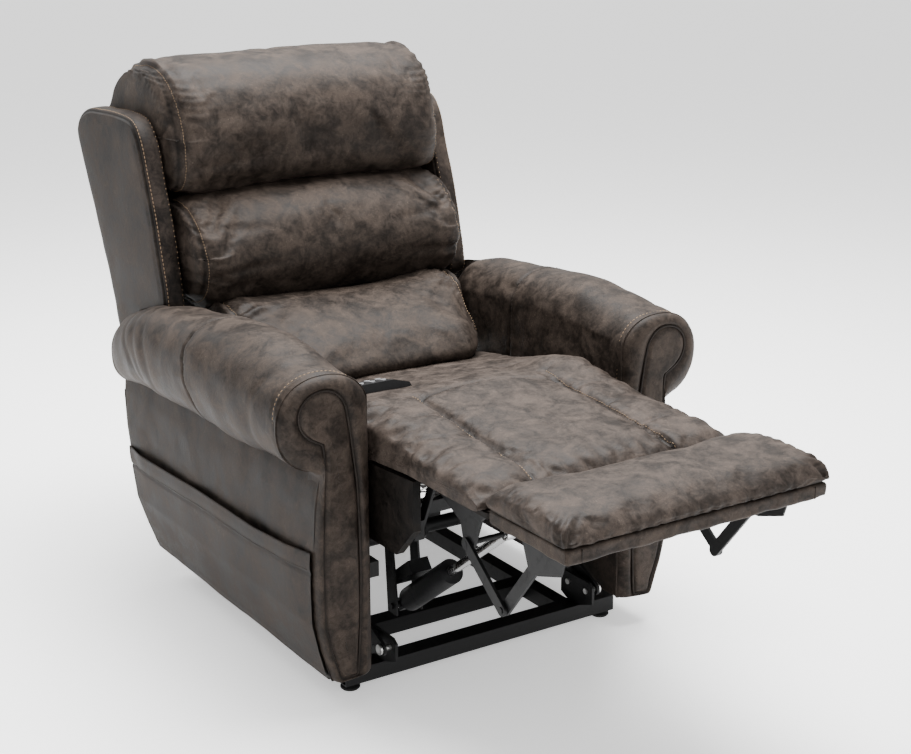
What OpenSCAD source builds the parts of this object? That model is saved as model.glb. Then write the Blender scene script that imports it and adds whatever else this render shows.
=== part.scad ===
// Power lift recliner chair, reclined with its footrest out and its lift down.
// Design data are taken from the front face of the arms; in_place() then moves
// everything so that the origin is under the middle of the whole chair.
// Side profiles are lists of [y, z] points; -Y is the front of the chair.

/* [Overall] */
// Width over both rolled arms
overall_w = 928; // [820:1:1100]
// Clear width between the arms
between_arms = 570; // [480:1:660]
// Length of an arm from front to back
arm_len = 877; // [800:1:960]
// Height of the arm's roll above the floor at its front
arm_h = 658; // [600:1:700]
// Distance from the chair's middle to the front face of the arms
arm_front_y = -289; // [-320:1:-240]

/* [Arms] */
// Radius of the arm's roll
roll_r = 93; // [80:1:100]
// Height of the arm's lower edge above the floor
arm_clear = 70; // [50:1:90]
// Thickness of the front facing panel
facing_t = 12; // [8:1:20]
// Wall of the padded arm cover
cover_t = 6; // [4:1:9]
// Width of the side pocket's opening
pocket_gap = 8; // [6:1:12]
// Height of the side pocket's top edge
pocket_top = 298; // [240:1:320]

/* [Base] */
// Length of the front cross tube
front_tube_len = 634; // [560:1:660]
// Height of every base tube
tube_h = 32; // [25:1:40]
// Depth of every base tube
tube_d = 40; // [30:1:50]
// Wall of every base tube
tube_wall = 2.5; // [1.5:0.5:4]
// Height of the glide feet
foot_h = 14; // [10:1:20]
// Radius of the glide feet
foot_r = 19; // [14:1:24]

/* [Mechanism] */
// Radius of every pivot pin
pin_r = 6; // [4:0.5:8]
// Radial clearance of a running pivot
pin_gap = 0.05; // [0.01:0.01:0.1]
// Thickness of a pressed steel link
link_t = 6; // [4:1:8]
// Width of a pressed steel link
link_w = 30; // [24:1:40]
// Radius of an actuator's housing
motor_r = 24; // [20:1:28]
// Radius of an actuator's rod
rod_r = 9; // [7:1:11]

/* [Seat and footrest] */
// Gap between the seat and each arm
seat_side_gap = 7; // [6:1:12]
// Length of the chaise pad, from its hinge to its front edge
chaise_len = 197; // [170:1:205]
// Length of the footrest pad
footpad_len = 225; // [200:1:240]
// Thickness of the footrest pad
footpad_t = 40; // [34:1:50]
// Gap between the chaise pad and the footrest pad
pad_gap = 16; // [15:1:30]

/* [Back] */
// Width over both back wings
wings_w = 720; // [620:1:730]
// Thickness of a wing
wing_t = 42; // [30:1:46]
// Length of the back along its rear face
back_len = 493; // [440:1:540]
// Lean of the back from the vertical, in degrees
back_lean = 25.8; // [20:0.1:30]

/* [Handset] */
// Length of the handset
handset_len = 150; // [120:1:170]
// Width of the handset
handset_w = 56; // [45:1:65]
// Height of the handset
handset_h = 24; // [18:1:30]

/* [Hidden] */
$fn = 48;
hull_fn = 32;

half_w = overall_w / 2;
arm_in = between_arms / 2;
seat_half = arm_in - seat_side_gap;
roll_x = half_w - roll_r;
roll_z = arm_h - roll_r;
belly_x = arm_in + 117;
crease_z = 463;
base_z = foot_h;
tube_top = base_z + tube_h;

// Pivots of the lift linkage, side view
lift_pivot = [100, 85];
guide_pivot = [40, 85];
lift_end = [426.3, 213.9];
guide_end = [320, 210];
lift_eye = [330, 176];
lift_motor_pin = [640, 85];
lift_arm_x = arm_in - 45;
guide_link_x = arm_in - 37.5;

// Pivots of the back, the footrest and their drives, side view
back_pivot = [560, 400];
back_eye = [515, 310];
back_motor_pin = [150, 285];
foot_pivot = [-125, 475];
foot_eye = [-224, 387];
foot_motor_pin = [120, 125];
leg_pivot = foot_eye;
leg_vertex = [-332, 305];
leg_end = [-420, 418];
leg_x = seat_half - 44;
foot_motor_x = -150;
back_motor_x = 150;

// Seat cushion
seat_front = foot_pivot[0] + 10;
seat_rear = 545;
seat_top = [[seat_front, 527], [72, 549], [153, 538], [272, 512], [417, 486], [seat_rear, 462]];
board_t = 16;
board_low = 318;
glide_gap = 0.3;
rail_t = 20;

// Footrest
chaise_front = foot_pivot[0] - chaise_len;
footpad_rear = chaise_front - pad_gap;
footpad_front = footpad_rear - footpad_len;
footpad_z = 500;
footboard_t = 26;

// Back, set out along its rear face from the lower rear corner
back_origin = [926, 489];
function back_at(u, n) = [
    back_origin[0] + u * sin(back_lean) - n * cos(back_lean),
    back_origin[1] + u * cos(back_lean) + n * sin(back_lean)
];
wing_out = wings_w / 2;
wing_in = wing_out - wing_t;

// Handset, lying on the sloping seat behind the middle
handset_at = [-170, 205];
handset_slope = -12.4;
button_r = 6;
button_travel = 1.2;
BUTTONS = 6;

leather = [0.36, 0.33, 0.31];
dark_leather = [0.27, 0.25, 0.24];
black_steel = [0.07, 0.07, 0.07];
zinc = [0.70, 0.70, 0.68];
plywood = [0.72, 0.58, 0.40];
black_plastic = [0.10, 0.10, 0.11];

// Shared helpers

module in_place() {
    translate([0, arm_front_y, 0]) children();
}

module both_sides() {
    children();
    mirror([1, 0, 0]) children();
}

// A side profile of [y, z] points, extruded across the chair
module across(points, x, w) {
    translate([x, 0, 0]) rotate([90, 0, 90]) linear_extrude(w) polygon(points);
}

// A round bar across the chair at the side view point p
module round_across(p, r, x, w) {
    translate([x, p[0], p[1]]) rotate([0, 90, 0]) cylinder(r = r, h = w);
}

// The outline of a bar with round ends, from p to q in side view
function round_ended(p, q, w) =
    let (rise = atan2(q[1] - p[1], q[0] - p[0]), steps = 10)
    concat(
        [for (i = [0 : steps]) p + w / 2 * [cos(rise + 90 + 180 * i / steps), sin(rise + 90 + 180 * i / steps)]],
        [for (i = [0 : steps]) q + w / 2 * [cos(rise - 90 + 180 * i / steps), sin(rise - 90 + 180 * i / steps)]]
    );

module link(p, q, w, x, t) {
    across(round_ended(p, q, w), x, t);
}

module pin_hole(p, x, t) {
    round_across(p, pin_r + pin_gap, x - 1, t + 2);
}

// A bolt whose shank runs from x to x + w, with a head at its outer end
module bolt_across(p, x, w, head) {
    round_across(p, pin_r, x, w);
    round_across(p, pin_r * 1.7, x + w, head);
}

// A square tube lying along X
module tube_x(y, z, len) {
    difference() {
        translate([-len / 2, y, z]) cube([len, tube_d, tube_h]);
        translate([-len / 2 - 1, y + tube_wall, z + tube_wall])
            cube([len + 2, tube_d - 2 * tube_wall, tube_h - 2 * tube_wall]);
    }
}

// A bar from p to q, r in radius, centred on x
module stick(p, q, r, x) {
    rise = atan2(q[1] - p[1], q[0] - p[0]);
    translate([x, p[0], p[1]]) rotate([rise - 90, 0, 0]) cylinder(r = r, h = norm(q - p));
}

function toward(p, q, d) = p + (q - p) * d / norm(q - p);

// Base

front_tube_y = 62;
middle_tube_y = 212;
rear_tube_y = 690;
rail_x = 196;
rear_inset = 20;

module base_tubes() {
    in_place() color(black_steel) {
        tube_x(front_tube_y, base_z, front_tube_len);
        tube_x(middle_tube_y, base_z, 2 * rail_x);
        tube_x(rear_tube_y, base_z, front_tube_len - 2 * rear_inset);
    }
}

module floor_rails() {
    run = rear_tube_y - front_tube_y - tube_d;
    in_place() color(black_steel) both_sides() difference() {
        translate([rail_x, front_tube_y + tube_d, base_z]) cube([tube_h, run, tube_h]);
        translate([rail_x + tube_wall, front_tube_y + tube_d - 1, base_z + tube_wall])
            cube([tube_h - 2 * tube_wall, run + 2, tube_h - 2 * tube_wall]);
    }
}

module glide_feet() {
    foot_x = front_tube_len / 2 - foot_r - 1;
    in_place() color(black_plastic) both_sides() for (y = [front_tube_y, rear_tube_y])
        translate([foot_x - (y == rear_tube_y ? rear_inset : 0), y + tube_d / 2, 0])
            rotate_extrude() polygon([
                [0, 0], [foot_r - 3, 0], [foot_r, 3], [foot_r, 6], [pin_r + 2, 9],
                [pin_r + 2, foot_h], [0, foot_h]
            ]);
}

module lift_brackets() {
    inner_x = lift_arm_x - 2 * link_t;
    in_place() color(black_steel) both_sides() difference() {
        across([
            [20, tube_top + 16], [20, 97], [32, 105], [112, 105], [124, 93], [124, tube_top + 10],
            [front_tube_y + tube_d, tube_top], [front_tube_y, tube_top]
        ], inner_x, link_t);
        pin_hole(lift_pivot, inner_x, link_t);
        pin_hole(guide_pivot, inner_x, link_t);
    }
}

module lift_pivot_bolts() {
    inner_x = lift_arm_x - 2 * link_t - 3;
    in_place() color(zinc) both_sides() {
        bolt_across(lift_pivot, inner_x, lift_arm_x + link_t + 1 - inner_x, 4);
        bolt_across(guide_pivot, inner_x, guide_link_x + link_t + 1 - inner_x, 4);
    }
}

module lift_motor_clevis() {
    in_place() color(black_steel) {
        difference() {
            both_sides() across([
                [lift_motor_pin[0] - 16, 72], [lift_motor_pin[0] - 16, 102],
                [lift_motor_pin[0] + 14, 102], [rear_tube_y + 34, tube_top], [rear_tube_y + 4, tube_top]
            ], motor_r + 2, link_t);
            round_across(lift_motor_pin, pin_r + pin_gap, -60, 120);
        }
    }
}

// Lift linkage

module lift_arm_plate() {
    difference() {
        link(lift_pivot, lift_end, link_w + 8, lift_arm_x, link_t);
        pin_hole(lift_pivot, lift_arm_x, link_t);
    }
}

module lift_arms() {
    in_place() both_sides() {
        color(black_steel) lift_arm_plate();
        color(zinc) bolt_across(lift_end, lift_arm_x - 4, link_t * 3 + 8, 4);
    }
}

module torsion_tube() {
    bar = [lift_eye[0] - 4, lift_eye[1] - 1];
    ear_x = 14;
    in_place() color(black_steel) {
        difference() {
            round_across(bar, 15, -lift_arm_x, 2 * lift_arm_x);
            round_across(bar, 12, -lift_arm_x - 1, 2 * lift_arm_x + 2);
            translate([-ear_x, bar[0] - 30, bar[1] - 30]) cube([2 * ear_x, 60, 60]);
        }
        both_sides() difference() {
            round_across(bar, 22, ear_x, link_t);
            pin_hole(lift_eye, ear_x, link_t);
        }
    }
    // The stub pins stop short of the rod's eye, which stays free between the ears
    in_place() color(zinc) both_sides()
        round_across(lift_eye, pin_r, ear_x - 3, link_t + 7);
}

module guide_links() {
    in_place() color(black_steel) both_sides() difference() {
        link(guide_pivot, guide_end, link_w - 4, guide_link_x, link_t);
        pin_hole(guide_pivot, guide_link_x, link_t);
        round_across(guide_end, pin_r + 2, guide_link_x - 1, link_t + 2);
    }
}

// Chair chassis

chassis_z = 240;
chassis_x = arm_in - 24;

module chassis_plate() {
    plate_x = chassis_x - link_t;
    difference() {
        union() {
            translate([chassis_x, 30, chassis_z]) cube([rail_t, 690, 30]);
            across([
                [290, chassis_z + 30], [290, 200], [302, 186], [440, 186], [452, 200],
                [452, chassis_z + 30]
            ], plate_x, link_t);
        }
        pin_hole(lift_end, plate_x, link_t);
    }
}

module chassis_rails() {
    in_place() both_sides() {
        color(black_steel) chassis_plate();
        color(zinc) round_across(guide_end, pin_r, guide_link_x - 1, chassis_x - guide_link_x + 4);
    }
}

module chassis_cross_rails() {
    in_place() color(black_steel) for (y = [592, 690])
        translate([-chassis_x, y, chassis_z]) cube([2 * chassis_x, 25, 25]);
}

// The seat's boards slide along these
module glide_tracks() {
    track_z = chassis_z + 30;
    in_place() color(black_plastic) both_sides()
        translate([chassis_x + 2, 60, track_z]) cube([board_t - 3, 500, board_low - glide_gap - track_z]);
}

module control_box() {
    in_place() color(black_plastic) difference() {
        translate([60, 600, 160]) cube([120, 90, chassis_z - 160]);
        translate([66, 596, 168]) cube([20, 16, 14]);
        translate([96, 596, 168]) cube([20, 16, 14]);
    }
}

// Arms, drawn on the right side

function arm_outline(inset) = [
    [arm_in + 3 + inset, arm_clear + inset],
    [belly_x - 33 - inset, arm_clear + inset],
    [belly_x - inset, 180],
    [belly_x - inset, 325],
    [belly_x - 20 - inset, crease_z + 5 - inset],
    [arm_in + 1 + inset, crease_z + 5 - inset]
];

arm_rear = arm_len;

function arm_side(inset) = [
    [facing_t + inset, arm_clear - 10],
    [arm_rear - 132 - inset, arm_clear - 10],
    [arm_rear - 122 - inset, arm_clear + 12],
    [arm_rear - 48 - inset, 276],
    [arm_rear - 2 - inset, 399 - inset],
    [620, crease_z - 2 - inset],
    [facing_t + inset, crease_z - 2 - inset]
];

module arm_extrusion(inset) {
    intersection() {
        translate([0, arm_rear + 5, 0]) rotate([90, 0, 0])
            linear_extrude(arm_rear) polygon(arm_outline(inset));
        across(arm_side(inset), 0, half_w);
    }
}

module arm_cover() {
    color(leather) difference() {
        arm_extrusion(0);
        arm_extrusion(cover_t);
        across(notch, 0, wing_out + 8);
    }
}

module arm_frame() {
    inner_x = arm_in + cover_t + 4;
    color(plywood) {
        translate([inner_x, facing_t + cover_t + 2, arm_clear + 16]) cube([18, 690, 340]);
        translate([inner_x + 18, facing_t + cover_t + 2, arm_clear + 16]) cube([52, 18, 340]);
        translate([inner_x + 18, 660, arm_clear + 16]) cube([52, 18, 200]);
    }
}

module roll_disc(y, r, z) {
    translate([roll_x, y + 2, z]) rotate([90, 0, 0]) cylinder(r = r, h = 4, $fn = hull_fn);
}

// The shoulder is cut away at the back, where the wing passes
notch = [[622, 612], [751, 540], [885, 400], [960, 400], [960, 720], [622, 720]];

module arm_roll() {
    stations = [
        [facing_t + 3, roll_r - 4, roll_z - 2], [245, roll_r, roll_z + 15],
        [590, roll_r, roll_z - 10], [720, roll_r, roll_z - 25], [arm_rear - 12, roll_r - 12, roll_z - 70]
    ];
    color(leather) difference() {
        intersection() {
            for (i = [0 : 3]) hull() {
                roll_disc(stations[i][0], stations[i][1], stations[i][2]);
                roll_disc(stations[i + 1][0], stations[i + 1][1], stations[i + 1][2]);
            }
            translate([arm_in + 1, 0, 0]) cube([half_w, 2 * arm_rear, 1000]);
        }
        across([[-10, 0], [-10, crease_z], [620, crease_z], [arm_rear + 20, 396], [arm_rear + 20, 0]],
            0, half_w + 50);
        across(notch, 0, wing_out + 8);
    }
}

module arm_facing() {
    color(leather) translate([0, facing_t - 0.5, 0]) rotate([90, 0, 0]) linear_extrude(facing_t - 0.5) {
        translate([roll_x, roll_z]) circle(r = roll_r - 1);
        polygon([
            [arm_in + 3, arm_clear + 3], [belly_x - 33, arm_clear - 3], [belly_x - 14, 120],
            [belly_x, 185], [belly_x, 325], [belly_x - 20, crease_z + 10], [roll_x + 30, roll_z],
            [arm_in + 1.5, roll_z - 8], [arm_in + 1.5, 300]
        ]);
    }
}

// The pocket's skin hugs the panel below and stands off it above
module side_pocket() {
    skin = 3.5;
    mouth_x = belly_x + pocket_gap;
    floor_z = 186;
    side = [
        [facing_t + 1, arm_clear - 3], [arm_rear - 130, arm_clear - 3], [arm_rear - 122, arm_clear + 12],
        [arm_rear - 50, 276], [arm_rear - 42, pocket_top], [facing_t + 1, pocket_top]
    ];
    color(leather) {
        intersection() {
            translate([0, arm_rear, 0]) rotate([90, 0, 0]) linear_extrude(arm_rear) polygon([
                [belly_x - 32, arm_clear - 3], [belly_x + 1, 180], [belly_x + 1, floor_z],
                [mouth_x, floor_z + 4], [mouth_x, pocket_top], [mouth_x + skin, pocket_top],
                [mouth_x + skin, floor_z - 3], [belly_x - 26, arm_clear - 3]
            ]);
            across(side, 0, half_w);
        }
        for (y = [facing_t + 1, arm_rear - 90])
            translate([belly_x + 1, y, floor_z]) cube([pocket_gap + skin - 1, 5, pocket_top - floor_z]);
    }
}

module arm_frames() { in_place() both_sides() arm_frame(); }
module arm_cover_left() { in_place() mirror([1, 0, 0]) arm_cover(); }
module arm_cover_right() { in_place() arm_cover(); }
module arm_roll_left() { in_place() mirror([1, 0, 0]) arm_roll(); }
module arm_roll_right() { in_place() arm_roll(); }
module arm_facings() { in_place() both_sides() arm_facing(); }
module side_pocket_left() { in_place() mirror([1, 0, 0]) side_pocket(); }
module side_pocket_right() { in_place() side_pocket(); }

module rear_panel() {
    in_place() color(dark_leather) across([
        [arm_rear - 137, arm_clear + 12], [arm_rear - 120, arm_clear + 12],
        [arm_rear - 46, 276], [arm_rear - 46, 300], [arm_rear - 63, 300], [arm_rear - 63, 280]
    ], -arm_in + 1, between_arms - 2);
}

// Actuators: a housing tube with its gearbox, and a rod that slides out of it

module actuator_housing(pin, eye, len, x) {
    rise = atan2(eye[1] - pin[1], eye[0] - pin[0]);
    neck = 12;
    color(black_plastic) {
        difference() {
            stick(toward(pin, eye, 24), toward(pin, eye, len), motor_r, x);
            stick(toward(pin, eye, 30), toward(pin, eye, len + 5), rod_r + 0.5, x);
        }
        round_across(pin, pin_r, x - motor_r - 10, 2 * motor_r + 20);
        translate([x, pin[0], pin[1]]) rotate([rise, 0, 0]) {
            translate([-neck, -neck, -neck]) cube([2 * neck, neck + 26, 2 * neck]);
            translate([-motor_r + 2, 32, -motor_r - 34]) cube([2 * motor_r - 4, 70, 26]);
        }
    }
}

module actuator_rod(pin, eye, inner, eye_bore, x) {
    color(zinc) difference() {
        union() {
            stick(toward(pin, eye, inner), toward(eye, pin, eye_bore + 3), rod_r, x);
            round_across(eye, eye_bore + 5, x - 9, 18);
        }
        round_across(eye, eye_bore, x - 20, 40);
    }
}

module lift_motor() {
    in_place() actuator_housing(lift_motor_pin, lift_eye, 250, 0);
}

module lift_rod() {
    in_place() actuator_rod(lift_motor_pin, lift_eye, 34, pin_r + 1, 0);
}

module recline_motor() {
    in_place() actuator_housing(back_motor_pin, back_eye, 250, back_motor_x);
}

module recline_rod() {
    in_place() actuator_rod(back_motor_pin, back_eye, 120, pin_r + 6, back_motor_x);
}

module footrest_motor() {
    in_place() actuator_housing(foot_motor_pin, foot_eye, 205, foot_motor_x);
}

module footrest_rod() {
    in_place() actuator_rod(foot_motor_pin, foot_eye, 182, pin_r + 1, foot_motor_x);
}

// Seat

rail_x_seat = seat_half - board_t - rail_t - 1;
rail_z_seat = 352;
back_bracket_x = rail_x_seat - link_t + 1;
upright_x = back_bracket_x + link_t;

function seat_base_z(y) = 478 - (y - seat_front) * 0.073;

module seat_rails() {
    in_place() color(black_steel) {
        both_sides() difference() {
            union() {
                translate([rail_x_seat, -96, rail_z_seat]) cube([rail_t, 636, 36]);
                across([
                    [500, rail_z_seat + 1], [500, rail_z_seat + 35], [back_pivot[0] + 16, 416],
                    [back_pivot[0] + 16, 384], [540, rail_z_seat + 1]
                ], rail_x_seat + 2, link_t);
                link(foot_pivot, [-80, 375], 2 * hinge_boss_r, rail_x_seat - link_t, link_t);
            }
            pin_hole(back_pivot, rail_x_seat + 2, link_t);
            pin_hole(foot_pivot, rail_x_seat - link_t, link_t);
        }
    }
}

module seat_cross_rails() {
    cross = 2 * rail_x_seat;
    in_place() color(black_steel) {
        for (y = [-12, 470]) translate([-cross / 2, y, rail_z_seat + 6]) cube([cross, 24, 24]);
        translate([-cross / 2, 130, rail_z_seat]) cube([cross, 24, 12]);
        drive_hanger(foot_motor_pin, foot_motor_x);
        drive_hanger(back_motor_pin, back_motor_x);
    }
}

// Two plates that hang from the middle rail and carry a motor's rear pin
module drive_hanger(pin, x) {
    for (side = [-1, 1]) difference() {
        across([
            [pin[0] - 16, pin[1] - 16], [pin[0] + 16, pin[1] - 16], [154, rail_z_seat], [130, rail_z_seat],
            [pin[0] - 16, pin[1] + 20]
        ], x + side * (motor_r + 4) - 2, 4);
        round_across(pin, pin_r + pin_gap, x - 60, 120);
    }
}

// One zigzag spring, as a flat closed outline that doubles back on itself
function zigzag(n, run, wide, shift) = [for (i = [0 : n]) [(i % 2 == 0 ? -wide : wide) + shift, i * run]];

module seat_springs() {
    turns = 22;
    wire = 3;
    run = 470 / turns;
    in_place() color(zinc) for (x = [-150, -50, 50, 150])
        translate([x, -8, rail_z_seat + 31]) linear_extrude(wire) polygon(concat(
            zigzag(turns, run, 22, -wire / 2),
            [for (i = [turns : -1 : 0]) zigzag(turns, run, 22, wire / 2)[i]]
        ));
}

module seat_cushion() {
    in_place() color(leather) across(concat(
        [[seat_rear, seat_base_z(seat_rear)], [seat_front, seat_base_z(seat_front)]], seat_top
    ), -seat_half, 2 * seat_half);
}

module seat_side_boards() {
    in_place() color(dark_leather) both_sides() across([
        [seat_front - 3, 380], [-60, board_low], [500, board_low], [500, seat_base_z(500) - 2],
        [seat_front - 3, seat_base_z(seat_front) - 4]
    ], seat_half - board_t, board_t);
}

// Back

module back_brackets() {
    foot_of_frame = back_at(-30, 45);
    in_place() color(black_steel) both_sides() {
        link(back_pivot, foot_of_frame, link_w, back_bracket_x, link_t);
        round_across(back_pivot, pin_r, back_bracket_x, rail_x_seat + link_t + 6 - back_bracket_x);
    }
}

// A cross bar between the brackets, with the lever that the recline rod pushes
module back_lever() {
    bar = back_pivot + [60, 16];
    lever_x = back_motor_x + 14;
    in_place() color(black_steel) {
        round_across(bar, 9, -back_bracket_x, 2 * back_bracket_x);
        link(bar, back_eye, 24, lever_x, link_t);
        round_across(back_eye, pin_r, lever_x - 26, 26);
    }
}

module back_uprights() {
    in_place() color(plywood) both_sides() across([
        back_at(-50, 20), back_at(-50, 68), back_at(back_len - 20, 68), back_at(back_len - 20, 20)
    ], upright_x, 36);
}

// The lowest rail stops at the brackets, and the others reach the uprights
module back_cross_rails() {
    rails = [[-50, back_bracket_x], [200, upright_x], [back_len - 60, upright_x]];
    in_place() color(plywood) for (rail = rails) across([
        back_at(rail[0], 22), back_at(rail[0], 60), back_at(rail[0] + 40, 60), back_at(rail[0] + 40, 22)
    ], -rail[1], 2 * rail[1]);
}

module back_shell() {
    in_place() color(leather) across([
        back_at(-60, 0), back_at(-60, 16), back_at(back_len - 6, 16), back_at(back_len - 4, 0)
    ], -wing_in + 2, 2 * wing_in - 4);
}

module wing() {
    color(leather) across([
        back_at(0, 0), back_at(0.55 * back_len, 0), back_at(back_len, 0), back_at(back_len + 10, 40),
        back_at(back_len + 4, 95), back_at(0.88 * back_len, 250), back_at(0.8 * back_len, 310),
        back_at(0.72 * back_len, 322), back_at(0.4 * back_len, 307), back_at(0.07 * back_len, 276),
        back_at(0.02 * back_len, 268)
    ], wing_in, wing_t);
}

module wing_left() { in_place() mirror([1, 0, 0]) wing(); }
module wing_right() { in_place() wing(); }

module lower_bolster() {
    in_place() color(leather) across([
        [432, 533], [455, 556], [540, 592], [620, 608], [668, 602], back_at(92, 75), back_at(-24, 75),
        [640, 482], [563, 472], [443, 527]
    ], -seat_half, 2 * seat_half);
}

module lumbar_bolster() {
    in_place() color(leather) across([
        [676, 612], [632, 646], [616, 690], [634, 742], [684, 784], [776, 804], back_at(313, 75),
        back_at(100, 75)
    ], -wing_in + 8, 2 * wing_in - 16);
}

module head_bolster() {
    in_place() color(leather) across([
        [778, 832], [735, 842], [708, 872], [704, 930], [724, 1000], [758, 1056], [805, 1084],
        [872, 1097], [960, 1085], [1030, 1048], [1066, 1000], back_at(500, 75), back_at(345, 75)
    ], -wing_in + 6, 2 * wing_in - 12);
}

module head_plate() {
    in_place() color(plywood) across([
        back_at(350, 73), back_at(480, 73), back_at(480, 70), back_at(350, 70)
    ], -230, 460);
}

// Footrest

hinge_slot = [40, 100, 30];
hinge_slot_behind = 35;
hinge_slot_inside = 24;
hinge_boss_r = 9;
chaise_bracket_x = rail_x_seat - 2 * link_t - 1;

// Room in the board and the pad for the ears of the hinge
module hinge_slots() {
    both_sides() translate([
        rail_x_seat - hinge_slot_inside,
        foot_pivot[0] + hinge_slot_behind - hinge_slot[1],
        foot_pivot[1] - hinge_slot[2] / 2
    ]) cube(hinge_slot);
}

module chaise_board() {
    board_half = seat_half - board_t - 10;
    in_place() color(plywood) difference() {
        translate([-board_half, chaise_front + 14, 463]) cube([2 * board_half, chaise_len - 28, 12]);
        hinge_slots();
    }
}

module chaise_brackets() {
    in_place() color(black_steel) both_sides() {
        round_across(foot_pivot, hinge_boss_r, chaise_bracket_x, link_t);
        across([
            [-131, 482], [-122, 467], [-140, 448], [-200, 420], leg_pivot + [10, -14],
            leg_pivot + [-12, -14], [-262, 440], [-290, 463], [-142, 463]
        ], chaise_bracket_x, link_t);
        round_across(foot_pivot, pin_r, chaise_bracket_x, 2 * link_t + 4);
        round_across(leg_pivot, pin_r, chaise_bracket_x, 2 * link_t + 0.5);
    }
}

// The shaft that joins the brackets, with a gap for the eye of the drive rod
module drive_shaft() {
    eye_gap = 11;
    in_place() color(black_steel) {
        round_across(foot_eye, pin_r - 1, foot_motor_x + eye_gap, chaise_bracket_x - foot_motor_x - eye_gap);
        round_across(foot_eye, pin_r - 1, -chaise_bracket_x, chaise_bracket_x + foot_motor_x - eye_gap);
    }
}

module chaise_pad() {
    pad_rear = foot_pivot[0] + 4;
    in_place() color(leather) difference() {
        across([
            [pad_rear, 479], [pad_rear, 526], [-228, 526], [chaise_front + 34, 520],
            [chaise_front + 8, 506], [chaise_front, 492], [chaise_front + 10, 479]
        ], -seat_half, 2 * seat_half);
        hinge_slots();
    }
}

module footrest_board() {
    front = footpad_front + 6;
    rear = footpad_rear - 6;
    in_place() color(dark_leather) translate([-seat_half + 3, front, footpad_z - 2 - footboard_t])
        cube([2 * seat_half - 6, rear - front, footboard_t]);
}

module footrest_brackets() {
    board_low_z = footpad_z - 2 - footboard_t;
    in_place() color(black_steel) both_sides() across([
        [leg_end[0] - 90, board_low_z], [leg_end[0] - 74, 424], [leg_end[0] - 14, 404],
        [leg_end[0] + 12, 404], [leg_end[0] + 40, board_low_z]
    ], leg_x + 0.5, 4);
}

module footrest_pad() {
    top = footpad_z + footpad_t;
    in_place() color(leather) across([
        [footpad_rear, footpad_z + 6], [footpad_rear - 4, footpad_z + 22], [footpad_rear - 40, top - 8],
        [footpad_rear - 120, top], [footpad_front + 36, top - 4], [footpad_front + 6, top - 22],
        [footpad_front, footpad_z + 16], [footpad_front + 16, footpad_z], [footpad_rear - 10, footpad_z]
    ], -seat_half, 2 * seat_half);
}

module leg_links_rear() {
    in_place() color(black_steel) both_sides() {
        difference() {
            link(leg_pivot, leg_vertex, link_w - 8, leg_x, link_t);
            pin_hole(leg_pivot, leg_x, link_t);
            pin_hole(leg_vertex, leg_x, link_t);
        }
    }
}

module leg_links_front() {
    in_place() color(black_steel) both_sides() {
        link(leg_vertex, leg_end, link_w - 8, leg_x - link_t - 1, link_t);
        round_across(leg_vertex, pin_r, leg_x - 2, link_t + 4);
    }
}

// Handset

module on_handset() {
    in_place() translate([handset_at[0], handset_at[1], lookup(handset_at[1], seat_top) + 0.6]) rotate([handset_slope, 0, 0])
        translate([-handset_len / 2, -handset_w / 2, 0]) children();
}

function button_place(i) = [
    handset_len * (0.34 + 0.16 * floor(i / 2)), handset_w * (i % 2 == 0 ? 0.33 : 0.67)
];

module handset() {
    on_handset() color(black_plastic) difference() {
        translate([0, handset_w, 0]) rotate([90, 0, 0]) linear_extrude(handset_w) polygon([
            [0, 0], [handset_len - 12, 0], [handset_len, 6], [handset_len - 4, handset_h * 0.6],
            [handset_len * 0.75, handset_h], [12, handset_h], [0, handset_h - 8]
        ]);
        for (i = [0 : BUTTONS - 1]) translate([button_place(i)[0], button_place(i)[1], handset_h - 5])
            cylinder(r = button_r + 0.3, h = 10);
    }
}

module button(i) {
    on_handset() color(zinc)
        translate([button_place(i)[0], button_place(i)[1], handset_h - 3]) cylinder(r = button_r, h = 5);
}

base_tubes();
floor_rails();
glide_feet();
lift_brackets();
lift_pivot_bolts();
lift_motor_clevis();
lift_arms();
torsion_tube();
guide_links();
chassis_rails();
chassis_cross_rails();
glide_tracks();
control_box();
arm_frames();
arm_cover_left();
arm_cover_right();
arm_roll_left();
arm_roll_right();
arm_facings();
side_pocket_left();
side_pocket_right();
rear_panel();
lift_motor();
lift_rod();
seat_rails();
seat_cross_rails();
seat_springs();
seat_cushion();
seat_side_boards();
back_brackets();
back_lever();
back_uprights();
back_cross_rails();
back_shell();
wing_left();
wing_right();
lumbar_bolster();
lower_bolster();
head_bolster();
head_plate();
recline_motor();
recline_rod();
chaise_board();
chaise_brackets();
drive_shaft();
chaise_pad();
footrest_board();
footrest_brackets();
footrest_pad();
leg_links_rear();
leg_links_front();
footrest_motor();
footrest_rod();
handset();
button(0);  // button_1
button(1);  // button_2
button(2);  // button_3
button(3);  // button_4
button(4);  // button_5
button(5);  // button_6
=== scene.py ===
import bpy, math
import numpy as np
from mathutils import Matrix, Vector, noise
from mathutils.bvhtree import BVHTree


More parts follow.
